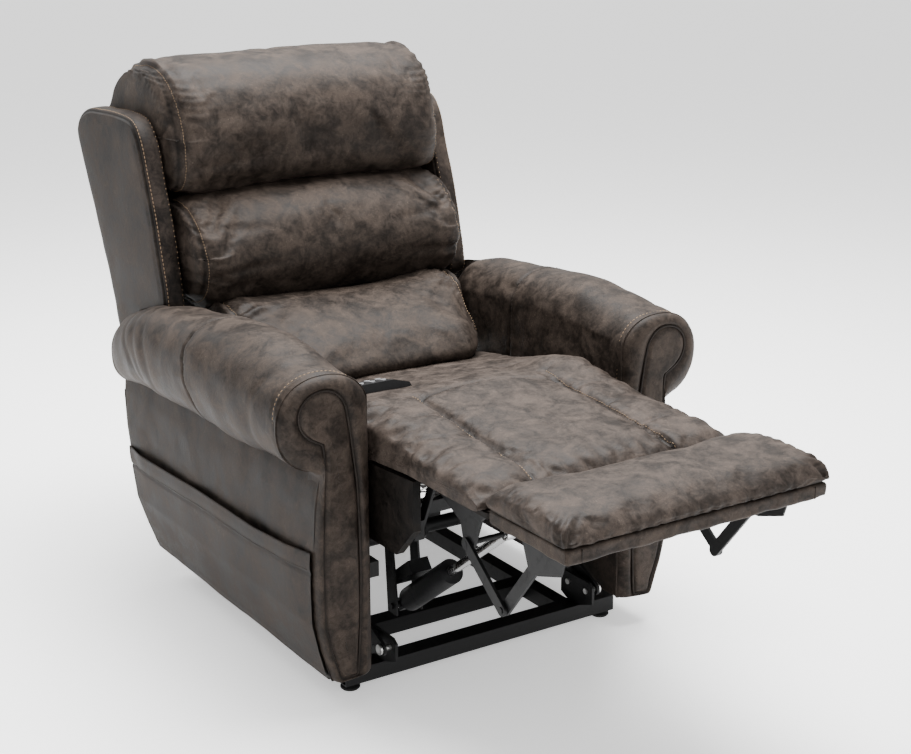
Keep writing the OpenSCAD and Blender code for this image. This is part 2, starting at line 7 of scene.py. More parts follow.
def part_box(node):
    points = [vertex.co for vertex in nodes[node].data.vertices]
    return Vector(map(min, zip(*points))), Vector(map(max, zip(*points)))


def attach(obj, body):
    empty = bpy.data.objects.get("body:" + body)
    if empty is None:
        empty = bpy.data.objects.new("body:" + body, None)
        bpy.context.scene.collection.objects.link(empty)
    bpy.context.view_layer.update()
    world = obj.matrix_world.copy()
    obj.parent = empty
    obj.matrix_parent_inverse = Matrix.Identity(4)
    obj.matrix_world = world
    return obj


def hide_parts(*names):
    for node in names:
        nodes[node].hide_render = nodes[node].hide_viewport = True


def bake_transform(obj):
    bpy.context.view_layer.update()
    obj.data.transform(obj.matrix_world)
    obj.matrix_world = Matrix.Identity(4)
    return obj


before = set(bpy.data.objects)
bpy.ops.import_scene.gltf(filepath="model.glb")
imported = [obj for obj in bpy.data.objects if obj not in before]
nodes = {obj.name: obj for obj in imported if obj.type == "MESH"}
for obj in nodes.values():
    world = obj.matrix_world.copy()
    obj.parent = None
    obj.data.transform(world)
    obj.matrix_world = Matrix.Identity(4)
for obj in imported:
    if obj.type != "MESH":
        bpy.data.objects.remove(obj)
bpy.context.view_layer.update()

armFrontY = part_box("arm_facings")[0][1]  # the side profiles below start at the arms' front face
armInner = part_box("arm_cover_right")[0][0]
backLean = math.radians(25.8)
backCorner = (0.926, 0.489)  # lower rear corner of the back
print("frame in", len(nodes), "nodes")


def backAt(u, n):  # along the back's rear face, and forward from it
    return (
        backCorner[0] + u * math.sin(backLean) - n * math.cos(backLean),
        backCorner[1] + u * math.cos(backLean) + n * math.sin(backLean),
    )


def inFrontOfBack(y, z):  # how far a point lies in front of the back's rear face
    return (backCorner[0] - y) * math.cos(backLean) + (z - backCorner[1]) * math.sin(backLean)


# camera, floor and light

view = {
    "azimuth": -33.21, "elevation": 17.21, "distance": 3.347,
    "target": (-0.006, armFrontY + 0.163, 0.545), "lens": 68.7
}
az, el = math.radians(view["azimuth"]), math.radians(view["elevation"])
camera = bpy.data.objects.new("camera", bpy.data.cameras.new("camera"))
bpy.context.scene.collection.objects.link(camera)
target = Vector(view["target"])
outward = Vector((math.sin(az) * math.cos(el), -math.cos(az) * math.cos(el), math.sin(el)))
camera.location = target + outward * view["distance"]
camera.rotation_euler = (-outward).to_track_quat("-Z", "Y").to_euler()
camera.data.lens = view["lens"]
camera.data.sensor_width = 36
bpy.context.scene.camera = camera

studio = {"softboxPower": 420, "softboxSize": 2.4, "fillPower": 30, "rimPower": 45, "surround": 1.1}


def areaLight(name, place, aim, power, size):
    lamp = bpy.data.objects.new(name, bpy.data.lights.new(name, "AREA"))
    bpy.context.scene.collection.objects.link(lamp)
    lamp.location = place
    lamp.rotation_euler = (Vector(aim) - Vector(place)).to_track_quat("-Z", "Y").to_euler()
    lamp.data.energy, lamp.data.size = power, size
    return lamp


areaLight("softboxAbove", (0.5, 0.5, 3.3), (0.0, 0.0, 0.5), studio["softboxPower"], studio["softboxSize"])
areaLight("fillFront", (1.6, -3.2, 1.7), (0.0, 0.0, 0.6), studio["fillPower"], 2.0)
areaLight("rimBehind", (-1.2, 2.6, 2.4), (0.0, 0.2, 0.8), studio["rimPower"], 1.6)
world = bpy.data.worlds.new("surround")
bpy.context.scene.world = world
world.use_nodes = True
world.node_tree.nodes["Background"].inputs["Color"].default_value = (1, 1, 1, 1)
world.node_tree.nodes["Background"].inputs["Strength"].default_value = studio["surround"]


# node groups shared by the materials

def newGroup(name, inputs, outputs):
    group = bpy.data.node_groups.new(name, "ShaderNodeTree")
    for label, kind, value in inputs:
        s = group.interface.new_socket(label, in_out="INPUT", socket_type=kind)
        if value is not None:
            s.default_value = value
    for label, kind in outputs:
        group.interface.new_socket(label, in_out="OUTPUT", socket_type=kind)
    return group, group.nodes.new("NodeGroupInput"), group.nodes.new("NodeGroupOutput")


def add(tree, kind, links=(), **settings):
    n = tree.nodes.new(kind)
    for key, value in settings.items():
        if key.startswith("in_"):
            n.inputs[int(key[3:]) if key[3:].isdigit() else key[3:].replace("_", " ")].default_value = value
        else:
            setattr(n, key, value)
    for socket, source in links:
        tree.links.new(source, n.inputs[socket])
    return n


def calc(tree, operation, a, b=None, clamp=False):
    n = tree.nodes.new("ShaderNodeMath")
    n.operation, n.use_clamp = operation, clamp
    for i, v in enumerate((a, b)):
        if v is None:
            continue
        if isinstance(v, (int, float)):
            n.inputs[i].default_value = v
        else:
            tree.links.new(v, n.inputs[i])
    return n.outputs[0]


def span(tree, value, low, high, a=0.0, b=1.0):
    n = tree.nodes.new("ShaderNodeMapRange")
    n.interpolation_type = "SMOOTHSTEP"
    tree.links.new(value, n.inputs["Value"])
    for key, v in (("From Min", low), ("From Max", high), ("To Min", a), ("To Max", b)):
        n.inputs[key].default_value = v
    return n.outputs["Result"]


def mottleGroup():  # cloudy patches of tone, with small worn flecks
    g, i, o = newGroup(
        "coverMottle", [("Shift", "NodeSocketFloat", 0.0), ("Patch Size", "NodeSocketFloat", 0.07)],
        [("Tone", "NodeSocketFloat"), ("Flecks", "NodeSocketFloat")]
    )
    coords = add(g, "ShaderNodeTexCoord").outputs["Object"]
    moved = (
        add(g, "ShaderNodeVectorMath", [(0, coords), (1, i.outputs["Shift"])], operation="ADD").outputs[0]
    )
    scale = calc(g, "DIVIDE", 1.0, i.outputs["Patch Size"])
    clouds = add(
        g, "ShaderNodeTexNoise", [("Vector", moved), ("Scale", scale)], in_Detail=5.0, in_Roughness=0.62,
        in_Distortion=0.7
    )
    small = add(
        g, "ShaderNodeTexNoise", [("Vector", moved), ("Scale", calc(g, "MULTIPLY", scale, 3.3))],
        in_Detail=6.0, in_Roughness=0.68, in_Distortion=1.1
    )
    tone = calc(
        g, "ADD", calc(g, "MULTIPLY", clouds.outputs[0], 0.6), calc(g, "MULTIPLY", small.outputs[0], 0.4)
    )
    g.links.new(span(g, tone, 0.36, 0.66), o.inputs["Tone"])
    wear = add(
        g, "ShaderNodeTexNoise", [("Vector", moved), ("Scale", calc(g, "MULTIPLY", scale, 8.5))],
        in_Detail=7.0, in_Roughness=0.74, in_Distortion=1.8
    )
    where = span(g, clouds.outputs[0], 0.47, 0.62)
    g.links.new(calc(g, "MULTIPLY", span(g, wear.outputs[0], 0.55, 0.70), where), o.inputs["Flecks"])
    return g


def grainGroup():  # pebble grain about a millimetre across, over soft handling wrinkles
    g, i, o = newGroup(
        "coverGrain", [("Grain Size", "NodeSocketFloat", 0.0012), ("Wrinkles", "NodeSocketFloat", 0.5)],
        [("Height", "NodeSocketFloat"), ("Pores", "NodeSocketFloat")]
    )
    coords = add(g, "ShaderNodeTexCoord").outputs["Object"]
    scale = calc(g, "DIVIDE", 1.0, i.outputs["Grain Size"])
    cells = add(g, "ShaderNodeTexVoronoi", [("Vector", coords), ("Scale", scale)], feature="SMOOTH_F1")
    soft = add(
        g, "ShaderNodeTexNoise", [("Vector", coords), ("Scale", calc(g, "MULTIPLY", scale, 0.05))],
        in_Detail=4.0, in_Roughness=0.6, in_Distortion=1.4
    )
    height = calc(
        g, "ADD", calc(g, "MULTIPLY", cells.outputs["Distance"], -0.35),
        calc(g, "MULTIPLY", calc(g, "MULTIPLY", soft.outputs[0], i.outputs["Wrinkles"]), 3.0)
    )
    g.links.new(height, o.inputs["Height"])
    g.links.new(span(g, cells.outputs["Distance"], 0.35, 0.75), o.inputs["Pores"])
    return g


def wearGroup():  # dust and scuffs on hard parts
    g, i, o = newGroup(
        "partWear", [("Spot Size", "NodeSocketFloat", 0.02)],
        [("Dust", "NodeSocketFloat"), ("Height", "NodeSocketFloat")]
    )
    coords = add(g, "ShaderNodeTexCoord").outputs["Object"]
    scale = calc(g, "DIVIDE", 1.0, i.outputs["Spot Size"])
    a = add(
        g, "ShaderNodeTexNoise", [("Vector", coords), ("Scale", scale)], in_Detail=6.0, in_Roughness=0.7,
        in_Distortion=0.8
    )
    b = add(
        g, "ShaderNodeTexNoise", [("Vector", coords), ("Scale", calc(g, "MULTIPLY", scale, 30.0))],
        in_Detail=2.0
    )
    g.links.new(span(g, a.outputs[0], 0.45, 0.75), o.inputs["Dust"])
    g.links.new(
        calc(g, "ADD", calc(g, "MULTIPLY", b.outputs[0], 0.6), calc(g, "MULTIPLY", a.outputs[0], 0.4)),
        o.inputs["Height"]
    )
    return g


mottle, grain, partWear = mottleGroup(), grainGroup(), wearGroup()


def newMaterial(name):
    m = bpy.data.materials.new(name)
    m.use_nodes = True
    return m, m.node_tree, m.node_tree.nodes["Principled BSDF"]


def mixColours(tree, factor, a, b, blend="MIX"):
    n = tree.nodes.new("ShaderNodeMix")
    n.data_type, n.blend_type = "RGBA", blend
    for socket, v in ((0, factor), (6, a), (7, b)):
        if isinstance(v, tuple):
            n.inputs[socket].default_value = (*v, 1.0)
        elif isinstance(v, (int, float)):
            n.inputs[socket].default_value = v
        else:
            tree.links.new(v, n.inputs[socket])
    return n.outputs[2]


def coverMaterial(name, dark, light, worn, shift=0.0, patch=0.05, roughness=0.56, wrinkles=0.5, bump=0.35):
    m, t, surface = newMaterial(name)
    tone = add(t, "ShaderNodeGroup", node_tree=mottle)
    tone.inputs["Shift"].default_value, tone.inputs["Patch Size"].default_value = shift, patch
    skin = add(t, "ShaderNodeGroup", node_tree=grain)
    skin.inputs["Wrinkles"].default_value = wrinkles
    paintedShade = add(t, "ShaderNodeAttribute", attribute_name="paintedShade")  # painted shade: 0 darkest, in a seam, groove or recess, 1 on open leather
    base = mixColours(t, tone.outputs["Tone"], dark, light)
    base = mixColours(t, calc(t, "MULTIPLY", tone.outputs["Flecks"], 0.55), base, worn)
    base = mixColours(
        t, calc(t, "MULTIPLY", skin.outputs["Pores"], 0.22), base, tuple(c * 0.45 for c in dark)
    )
    # painted shade: the attribute multiplies the colour down to 0.3 where seams, grooves and recesses fall
    # into shade
    seam = span(t, paintedShade.outputs["Fac"], 0.0, 1.0, 0.3, 1.0)
    paintedShadeTint = add(t, "ShaderNodeCombineColor", [(0, seam), (1, seam), (2, seam)])
    base = mixColours(t, 1.0, base, paintedShadeTint.outputs[0], "MULTIPLY")
    t.links.new(base, surface.inputs["Base Color"])
    t.links.new(
        span(t, tone.outputs["Tone"], 0.0, 1.0, roughness - 0.05, roughness + 0.09),
        surface.inputs["Roughness"]
    )
    height = add(
        t, "ShaderNodeBump", [("Height", skin.outputs["Height"])], in_Strength=bump, in_Distance=0.0012
    )
    t.links.new(height.outputs[0], surface.inputs["Normal"])
    surface.inputs["Specular IOR Level"].default_value = 0.10
    return m


def hardMaterial(
    name, colour, dust, roughness, metallic=0.0, spot=0.03, bump=0.15, dusty=0.4, grainDepth=0.0004
):
    m, t, surface = newMaterial(name)
    w = add(t, "ShaderNodeGroup", node_tree=partWear)
    w.inputs["Spot Size"].default_value = spot
    t.links.new(
        mixColours(t, calc(t, "MULTIPLY", w.outputs["Dust"], dusty), colour, dust),
        surface.inputs["Base Color"]
    )
    t.links.new(
        span(t, w.outputs["Dust"], 0.0, 1.0, roughness, min(1.0, roughness + 0.18)),
        surface.inputs["Roughness"]
    )
    height = add(
        t, "ShaderNodeBump", [("Height", w.outputs["Height"])], in_Strength=bump, in_Distance=grainDepth
    )
    t.links.new(height.outputs[0], surface.inputs["Normal"])
    surface.inputs["Metallic"].default_value = metallic
    surface.inputs["Specular IOR Level"].default_value = 0.5 if metallic else 0.2
    return m


coverTones = {
    "dark": (0.009, 0.0066, 0.0052), "light": (0.046, 0.0345, 0.0275), "worn": (0.130, 0.100, 0.078)
}
cover = coverMaterial("coverLeather", coverTones["dark"], coverTones["light"], coverTones["worn"])
# shaded copy of the cover leather, darker all over: painted shade on the sides, the rear, the pockets and
# the left wing
coverPaintedShade = coverMaterial(
    "coverLeatherPaintedShade", (0.0045, 0.0033, 0.0026), (0.034, 0.0255, 0.0205), (0.095, 0.073, 0.057),
    shift=3.7, patch=0.06, wrinkles=0.3
)
# lit copy of the cover leather, lighter all over: painted light on the seat and footrest tops
coverPaintedLight = coverMaterial(
    "coverLeatherPaintedLight", (0.013, 0.0097, 0.0078), (0.060, 0.046, 0.038), (0.15, 0.118, 0.096), shift=7.9,
    patch=0.05, wrinkles=0.6
)
welt = coverMaterial(
    "weltLeather", (0.011, 0.0085, 0.007), (0.026, 0.0205, 0.0175), (0.06, 0.048, 0.04), shift=1.3,
    patch=0.05, wrinkles=0.2
)
thread = hardMaterial("tanThread", (0.20, 0.135, 0.082), (0.13, 0.09, 0.055), 0.7, spot=0.004, bump=0.5)
darkThread = hardMaterial(
    "brownThread", (0.02, 0.015, 0.012), (0.045, 0.035, 0.028), 0.7, spot=0.004, bump=0.5
)
blackSteel = hardMaterial(
    "blackSteel", (0.0035, 0.0035, 0.0038), (0.010, 0.0097, 0.0093), 0.5, 0.0, spot=0.03, bump=0.25
)
zincPlate = hardMaterial(
    "zincPlate", (0.56, 0.56, 0.55), (0.38, 0.37, 0.34), 0.28, 0.95, spot=0.008, bump=0.3
)
groundSteel = hardMaterial(
    "groundSteel", (0.62, 0.62, 0.62), (0.5, 0.49, 0.47), 0.18, 1.0, spot=0.012, bump=0.1
)
blackPlastic = hardMaterial(
    "blackPlastic", (0.0045, 0.0045, 0.005), (0.014, 0.014, 0.014), 0.45, spot=0.02, bump=0.4
)
rubberFoot = hardMaterial(
    "rubberFoot", (0.010, 0.010, 0.010), (0.035, 0.033, 0.03), 0.75, spot=0.01, bump=0.5
)
plyEdge = hardMaterial(
    "plywoodBoard", (0.36, 0.24, 0.13), (0.22, 0.14, 0.08), 0.65, spot=0.05, bump=0.4, dusty=0.7
)
silverKey = hardMaterial("silverKey", (0.42, 0.42, 0.43), (0.3, 0.3, 0.3), 0.35, 0.6, spot=0.004, bump=0.1)
print("materials ready")


# mesh helpers

def closedCurve(points, count):  # a smooth closed line through the points, evenly spaced
    p = np.array(points, float)
    n = len(p)
    out = []
    for i in range(n):
        a, b, c, d = p[i - 1], p[i], p[(i + 1) % n], p[(i + 2) % n]
        t1 = max(np.linalg.norm(b - a), 1e-6) ** 0.5
        t2 = t1 + max(np.linalg.norm(c - b), 1e-6) ** 0.5
        t3 = t2 + max(np.linalg.norm(d - c), 1e-6) ** 0.5
        for t in np.linspace(t1, t2, 24, endpoint=False):
            a1 = (t1 - t) / t1 * a + t / t1 * b
            a2 = (t2 - t) / (t2 - t1) * b + (t - t1) / (t2 - t1) * c
            a3 = (t3 - t) / (t3 - t2) * c + (t - t2) / (t3 - t2) * d
            b1 = (t2 - t) / t2 * a1 + t / t2 * a2
            b2 = (t3 - t) / (t3 - t1) * a2 + (t - t1) / (t3 - t1) * a3
            out.append((t2 - t) / (t2 - t1) * b1 + (t - t1) / (t2 - t1) * b2)
    q = np.array(out)
    return q if count is None else evenly(q, count, True)


def evenly(q, count, closed):
    if closed:
        q = np.vstack([q, q[:1]])
    s = np.concatenate([[0], np.cumsum(np.linalg.norm(np.diff(q, axis=0), axis=1))])
    t = np.linspace(0, s[-1], count, endpoint=not closed)
    return np.stack([np.interp(t, s, q[:, k]) for k in range(q.shape[1])], 1)


def matched(a, b, count):  # two closed lines through matching points, sampled alike
    qa, qb = closedCurve(a, None), closedCurve(b, None)
    loop = np.vstack([qa, qa[:1]])
    s = np.concatenate([[0], np.cumsum(np.linalg.norm(np.diff(loop, axis=0), axis=1))])
    t = np.linspace(0, s[-1], count, endpoint=False)
    both = np.hstack([loop, np.vstack([qb, qb[:1]])])
    r = np.stack([np.interp(t, s, both[:, k]) for k in range(4)], 1)
    return r[:, :2], r[:, 2:]


def openCurve(points, count):
    p = np.array(points, float)
    ext = np.vstack([2 * p[0] - p[1], p, 2 * p[-1] - p[-2]])
    out = []
    for i in range(1, len(ext) - 2):
        a, b, c, d = ext[i - 1], ext[i], ext[i + 1], ext[i + 2]
        for t in np.linspace(0, 1, 16, endpoint=False):
            out.append(
                0.5
                * (
                    2 * b + (c - a) * t + (2 * a - 5 * b + 4 * c - d) * t * t
                    + (3 * b - a - 3 * c + d) * t ** 3
                )
            )
    out.append(p[-1])
    return evenly(np.array(out), count, False)


def insetLoop(p, d):
    tangent = np.roll(p, -1, 0) - np.roll(p, 1, 0)
    normal = np.stack([-tangent[:, 1], tangent[:, 0]], 1)
    normal /= np.maximum(np.linalg.norm(normal, axis=1, keepdims=True), 1e-9)
    area = np.sum(p[:, 0] * np.roll(p[:, 1], -1) - np.roll(p[:, 0], -1) * p[:, 1])
    q = p + normal * (d if area > 0 else -d)
    for _ in range(6):
        q = (np.roll(q, 1, 0) + 2 * q + np.roll(q, -1, 0)) / 4
    return q


def loftAcross(centre, end, xs, weights, capRings=7, bulge=0.0):
    # rings of [y, z] points from -X to +X; weight 1 is the end profile
    rings = []
    middle = end.mean(0)
    first = xs[0]
    last = xs[-1]
    for k in range(capRings):
        s = 0.06 + 0.94 * (k / capRings) ** 0.9
        ring = middle + (end - middle) * s
        rings.append(np.column_stack([np.full(len(ring), first - bulge * (1 - s * s)), ring]))
    for x, w in zip(xs, weights):
        ring = centre * (1 - w) + end * w
        rings.append(np.column_stack([np.full(len(ring), x), ring]))
    for k in range(capRings)[::-1]:
        s = 0.06 + 0.94 * (k / capRings) ** 0.9
        ring = middle + (end - middle) * s
        rings.append(np.column_stack([np.full(len(ring), last + bulge * (1 - s * s)), ring]))
    return np.array(rings)


def roundedStations(half, roundLength, spacing):
    flat = np.arange(-(half - roundLength), half - roundLength + 1e-9, spacing)
    steps = max(6, int(roundLength * 1.3 / spacing))
    a = np.linspace(0, math.pi / 2, steps + 1)[1:]
    side = (half - roundLength) + roundLength * np.sin(a)
    xs = np.concatenate([-side[::-1], flat, side])
    w = np.concatenate([(1 - np.cos(a))[::-1], np.zeros(len(flat)), 1 - np.cos(a)])
    return xs, w


def refine(grid):  # halves the spacing both ways, smoothly
    def doubled(g, axis, closed):
        g = np.moveaxis(g, axis, 0)
        if closed:
            a, b, c, d = np.roll(g, 1, 0), g, np.roll(g, -1, 0), np.roll(g, -2, 0)
            mid = (-a + 9 * b + 9 * c - d) / 16
            out = np.empty((2 * len(g),) + g.shape[1:])
            out[0::2], out[1::2] = g, mid
        else:
            pad = np.concatenate([2 * g[:1] - g[1:2], g, 2 * g[-1:] - g[-2:-1]])
            mid = (-pad[:-3] + 9 * pad[1:-2] + 9 * pad[2:-1] - pad[3:]) / 16
            out = np.empty((2 * len(g) - 1,) + g.shape[1:])
            out[0::2], out[1::2] = g, mid
        return np.moveaxis(out, 0, axis)
    return doubled(doubled(grid, 0, False), 1, True)


def gridNormals(g):
    du = np.gradient(g, axis=0)
    dv = (np.roll(g, -1, 1) - np.roll(g, 1, 1)) / 2
    n = np.cross(du, dv)
    n /= np.maximum(np.linalg.norm(n, axis=2, keepdims=True), 1e-12)
    middle = g.reshape(-1, 3).mean(0)
    if np.sum(n * (g - middle)) < 0:
        n = -n
    return n


def meshFrom(name, verts, faces, material, paintedShade=None, shift=True):
    mesh = bpy.data.meshes.new(name)
    v = np.array(verts, float).reshape(-1, 3).copy()
    if shift:
        v[:, 1] += armFrontY
    mesh.from_pydata(v.tolist(), [], faces)
    mesh.validate()
    mesh.update()
    mesh.shade_smooth()
    obj = bpy.data.objects.new(name, mesh)
    bpy.context.scene.collection.objects.link(obj)
    obj.data.materials.append(material)
    a = mesh.attributes.new("paintedShade", "FLOAT", "POINT")
    a.data.foreach_set(
        "value", np.ones(len(v), np.float32) if paintedShade is None else np.array(paintedShade, np.float32).ravel()
    )
    return obj


def gridFaces(rows, cols, flip=False, closed=True):
    out = []
    for i in range(rows - 1):
        for j in range(cols if closed else cols - 1):
            k = (j + 1) % cols
            f = (i * cols + j, i * cols + k, (i + 1) * cols + k, (i + 1) * cols + j)
            out.append(f[::-1] if flip else f)
    return out


def closedGrid(name, g, material, paintedShade=None):
    rows, cols = g.shape[:2]
    verts = np.vstack([g.reshape(-1, 3), g[0].mean(0)[None], g[-1].mean(0)[None]])
    faces = gridFaces(rows, cols)
    a, b = rows * cols, rows * cols + 1
    for j in range(cols):
        k = (j + 1) % cols
        faces.append((a, k, j))
        faces.append((b, (rows - 1) * cols + j, (rows - 1) * cols + k))
    if paintedShade is not None:
        paintedShade = np.concatenate([paintedShade.ravel(), [paintedShade[0].mean(), paintedShade[-1].mean()]])
    obj = meshFrom(name, verts, faces, material, paintedShade)
    du, dv = g[rows // 2 + 1, 0] - g[rows // 2, 0], g[rows // 2, 1] - g[rows // 2, 0]
    if np.dot(np.cross(dv, du), g[rows // 2, 0] - g[rows // 2].mean(0)) < 0:
        obj.data.flip_normals()
    return obj


def inflate(name, g, pinned, pressure=4.0, cap=0.02, slack=-0.02, frames=20):
    # cloth under inner pressure, held at the pinned points, with each point's travel capped
    rows, cols = g.shape[:2]
    obj = closedGrid(name, g, cover)
    group = obj.vertex_groups.new(name="held")
    flat = np.append(pinned.ravel(), [1.0, 1.0])
    for i in np.nonzero(flat > 0.01)[0]:
        group.add([int(i)], float(flat[i]), "REPLACE")
    cloth = obj.modifiers.new("cloth", "CLOTH")
    s = cloth.settings
    s.quality, s.mass = 4, 0.3
    s.tension_stiffness = s.compression_stiffness = 12
    s.shear_stiffness, s.bending_stiffness = 4, 0.35
    s.use_pressure, s.uniform_pressure_force = True, pressure
    s.shrink_min = slack
    s.effector_weights.gravity = 0
    s.vertex_group_mass = "held"
    cloth.point_cache.frame_start, cloth.point_cache.frame_end = 1, frames
    scene = bpy.context.scene
    before = np.array([v.co for v in obj.data.vertices])
    for f in range(1, frames + 1):
        scene.frame_set(f)
    shaped = obj.evaluated_get(bpy.context.evaluated_depsgraph_get())
    after = np.array([v.co for v in shaped.data.vertices])
    scene.frame_set(1)
    bpy.data.objects.remove(obj)
    move = after - before
    size = np.linalg.norm(move, axis=1, keepdims=True)
    move *= np.minimum(1.0, cap / np.maximum(size, 1e-9))
    print(name, "inflated, largest move", round(float(size.max()), 4))
    return g + move[: rows * cols].reshape(g.shape)


def wave(points, size, seed):  # smooth noise, about -0.5 to 0.5
    flat = np.asarray(points).reshape(-1, 3)
    out = np.array(
        [
            noise.noise(Vector((p[0] / size + seed, p[1] / size - seed, p[2] / size + 2 * seed)))
            for p in flat
        ]
    )
    return out.reshape(np.asarray(points).shape[:-1])


def dip(d, width):
    return np.exp(-(d / width) ** 2)


def surfaceOf(obj):
    m = obj.data
    return BVHTree.FromPolygons([v.co.copy() for v in m.vertices], [tuple(p.vertices) for p in m.polygons])


def laid(tree, points, lift=0.0):  # the points, dropped onto a surface, with its normals
    spots, normals = [], []
    for p in points:
        hit, n, _, _ = tree.find_nearest(Vector(p))
        if hit is None:
            continue
        spots.append(hit + n * lift)
        normals.append(n)
    return spots, normals


def stitchRow(name, spots, normals, material, pitch=0.0075, dash=0.0052, width=0.0013, height=0.0009):
    p = np.array([list(s) for s in spots])
    n = np.array([list(s) for s in normals])
    s = np.concatenate([[0], np.cumsum(np.linalg.norm(np.diff(p, axis=0), axis=1))])
    verts, faces = [], []
    for c in np.arange(pitch / 2, s[-1] - pitch / 2, pitch):
        a = np.array([np.interp(c - dash / 2, s, p[:, k]) for k in range(3)])
        b = np.array([np.interp(c + dash / 2, s, p[:, k]) for k in range(3)])
        up = np.array([np.interp(c, s, n[:, k]) for k in range(3)])
        along = (b - a) / max(np.linalg.norm(b - a), 1e-9)
        across = np.cross(along, up)
        across /= max(np.linalg.norm(across), 1e-9)
        base = len(verts)
        for t, w, h in ((0, 0.25, 0.0), (0.2, 0.9, 0.75), (0.5, 1.0, 1.0), (0.8, 0.9, 0.75), (1, 0.25, 0.0)):
            mid = a + (b - a) * t
            for k in (-1, -0.5, 0.5, 1):
                lift = height * h * (1.0 if abs(k) < 0.8 else -0.15)
                verts.append(mid + across * k * w * width / 2 + up * lift)
        for r in range(4):
            for q in range(3):
                faces.append(
                    (
                        base + r * 4 + q, base + r * 4 + q + 1, base + (r + 1) * 4 + q + 1,
                        base + (r + 1) * 4 + q
                    )
                )
    return meshFrom(name, verts, faces, material, shift=False)


def tube(name, points, radius, material, sides=8, closed=False, shift=False):
    p = np.array([list(q) for q in points], float)
    t = np.gradient(p, axis=0)
    if closed:
        t = np.roll(p, -1, 0) - np.roll(p, 1, 0)
    t /= np.maximum(np.linalg.norm(t, axis=1, keepdims=True), 1e-9)
    ref = np.array([0.0, 0.0, 1.0]) if abs(t[0][2]) < 0.9 else np.array([1.0, 0.0, 0.0])
    rows = []
    side = np.cross(t[0], ref)
    for i in range(len(p)):
        side = side - t[i] * np.dot(side, t[i])
        side /= max(np.linalg.norm(side), 1e-9)
        up = np.cross(side, t[i])
        rows.append(
            [
                p[i] + radius * (math.cos(a) * side + math.sin(a) * up)
                for a in np.linspace(0, 2 * math.pi, sides, endpoint=False)
            ]
        )
    g = np.array(rows)
    if closed:
        faces = (
            gridFaces(len(p), sides)
            + [
                ((len(p) - 1) * sides + j, (len(p) - 1) * sides + (j + 1) % sides, (j + 1) % sides, j)
                for j in range(sides)
            ]
        )
        return meshFrom(name, g, faces, material, shift=shift)
    faces = (
        gridFaces(len(p), sides)
        + [tuple(range(sides))[::-1], tuple((len(p) - 1) * sides + j for j in range(sides))]
    )
    return meshFrom(name, g, faces, material, shift=shift)


def arcAlong(ring):  # distance along a closed line of points
    return np.concatenate([[0], np.cumsum(np.linalg.norm(np.diff(ring, axis=0), axis=1))])


def addFolds(g, x0, body, depth, reach, pitch, seed):
    # a seam at |x| = x0 with short puckers running away from it
    x = g[..., 0]
    d = np.abs(x) - x0
    s = np.array([arcAlong(r) for r in g])
    ripple = (
        np.sin(2 * math.pi * s / pitch + 3.0 * np.sin(s / pitch * 0.9 + seed))
        * (0.5 + 0.5 * np.sin(s / pitch * 0.37 + seed * 2))
    )
    side = np.where(x < 0, 0.0, 1.9)
    ripple = ripple * np.cos(side + s * 3)
    return -depth * dip(d, 0.006) * body + reach * ripple * np.exp(-np.abs(d) / 0.03) * body


# back bolsters

bolsterFinish = {
    "seamInset": 0.012, "seamDepth": 0.0045, "puckers": 0.0024, "pitch": 0.021, "sag": 0.0040,
    "uneven": 0.0012, "heldFrom": 0.10
}
bolsterLooks = {
    "headBolster": {"node": "head_bolster", "body": "headrest", "half": 0.322, "round": 0.065,
        "cap": 0.009, "shift": 0.006, "bulge": 0.004,
        "centre": [
            (.792, .834), (.738, .842), (.709, .872), (.704, .930), (.724, 1.000), (.758, 1.052),
            (.806, 1.082), (.872, 1.096), (.960, 1.084), (1.030, 1.048), (1.066, 1.000),
            backAt(.500, .077), backAt(.42, .077), backAt(.352, .077), (.900, .832)
        ],
        "end": [(.812, .842), (.780, .848), (.766, .874), (.764, .930), (.782, .985), (.806, 1.030),
            (.842, 1.060), (.892, 1.076), (.966, 1.067), (1.020, 1.036), (1.052, .993),
            backAt(.495, .079), backAt(.42, .077), backAt(.355, .079), (.905, .838)]},
    "lumbarBolster": {"node": "lumbar_bolster", "body": "back", "half": 0.320, "round": 0.055,
        "cap": 0.008, "shift": 0.005, "bulge": 0.003,
        "centre": [
            (.700, .604), (.652, .622), (.622, .656), (.613, .700), (.628, .748), (.664, .790),
            (.706, .818), (.760, .829), (.810, .826), backAt(.330, .077), backAt(.21, .077),
            backAt(.100, .077), (.800, .607)
        ],
        "end": [(.735, .645), (.696, .650), (.668, .672), (.658, .704), (.668, .742), (.690, .778),
            (.728, .806), (.770, .818), (.820, .816), backAt(.328, .079), backAt(.21, .077),
            backAt(.114, .079), (.810, .636)]},
    "lowerBolster": {"node": "lower_bolster", "body": "back", "half": 0.278, "round": 0.07, "cap": 0.008,
        "shift": 0.0, "bulge": 0.002,
        "centre": [
            (.392, .493), (.384, .512), (.412, .542), (.480, .576), (.560, .602), (.630, .611),
            (.690, .600), (.790, .604), backAt(.092, .077), backAt(.03, .077), backAt(-.024, .077),
            (.720, .484), (.600, .474), (.480, .482)
        ],
        "end": [(.552, .482), (.535, .510), (.538, .542), (.552, .570), (.580, .592), (.625, .602),
            (.690, .600), (.790, .602), backAt(.092, .079), backAt(.03, .077), backAt(-.020, .079),
            (.740, .484), (.660, .472), (.600, .472)]},
}


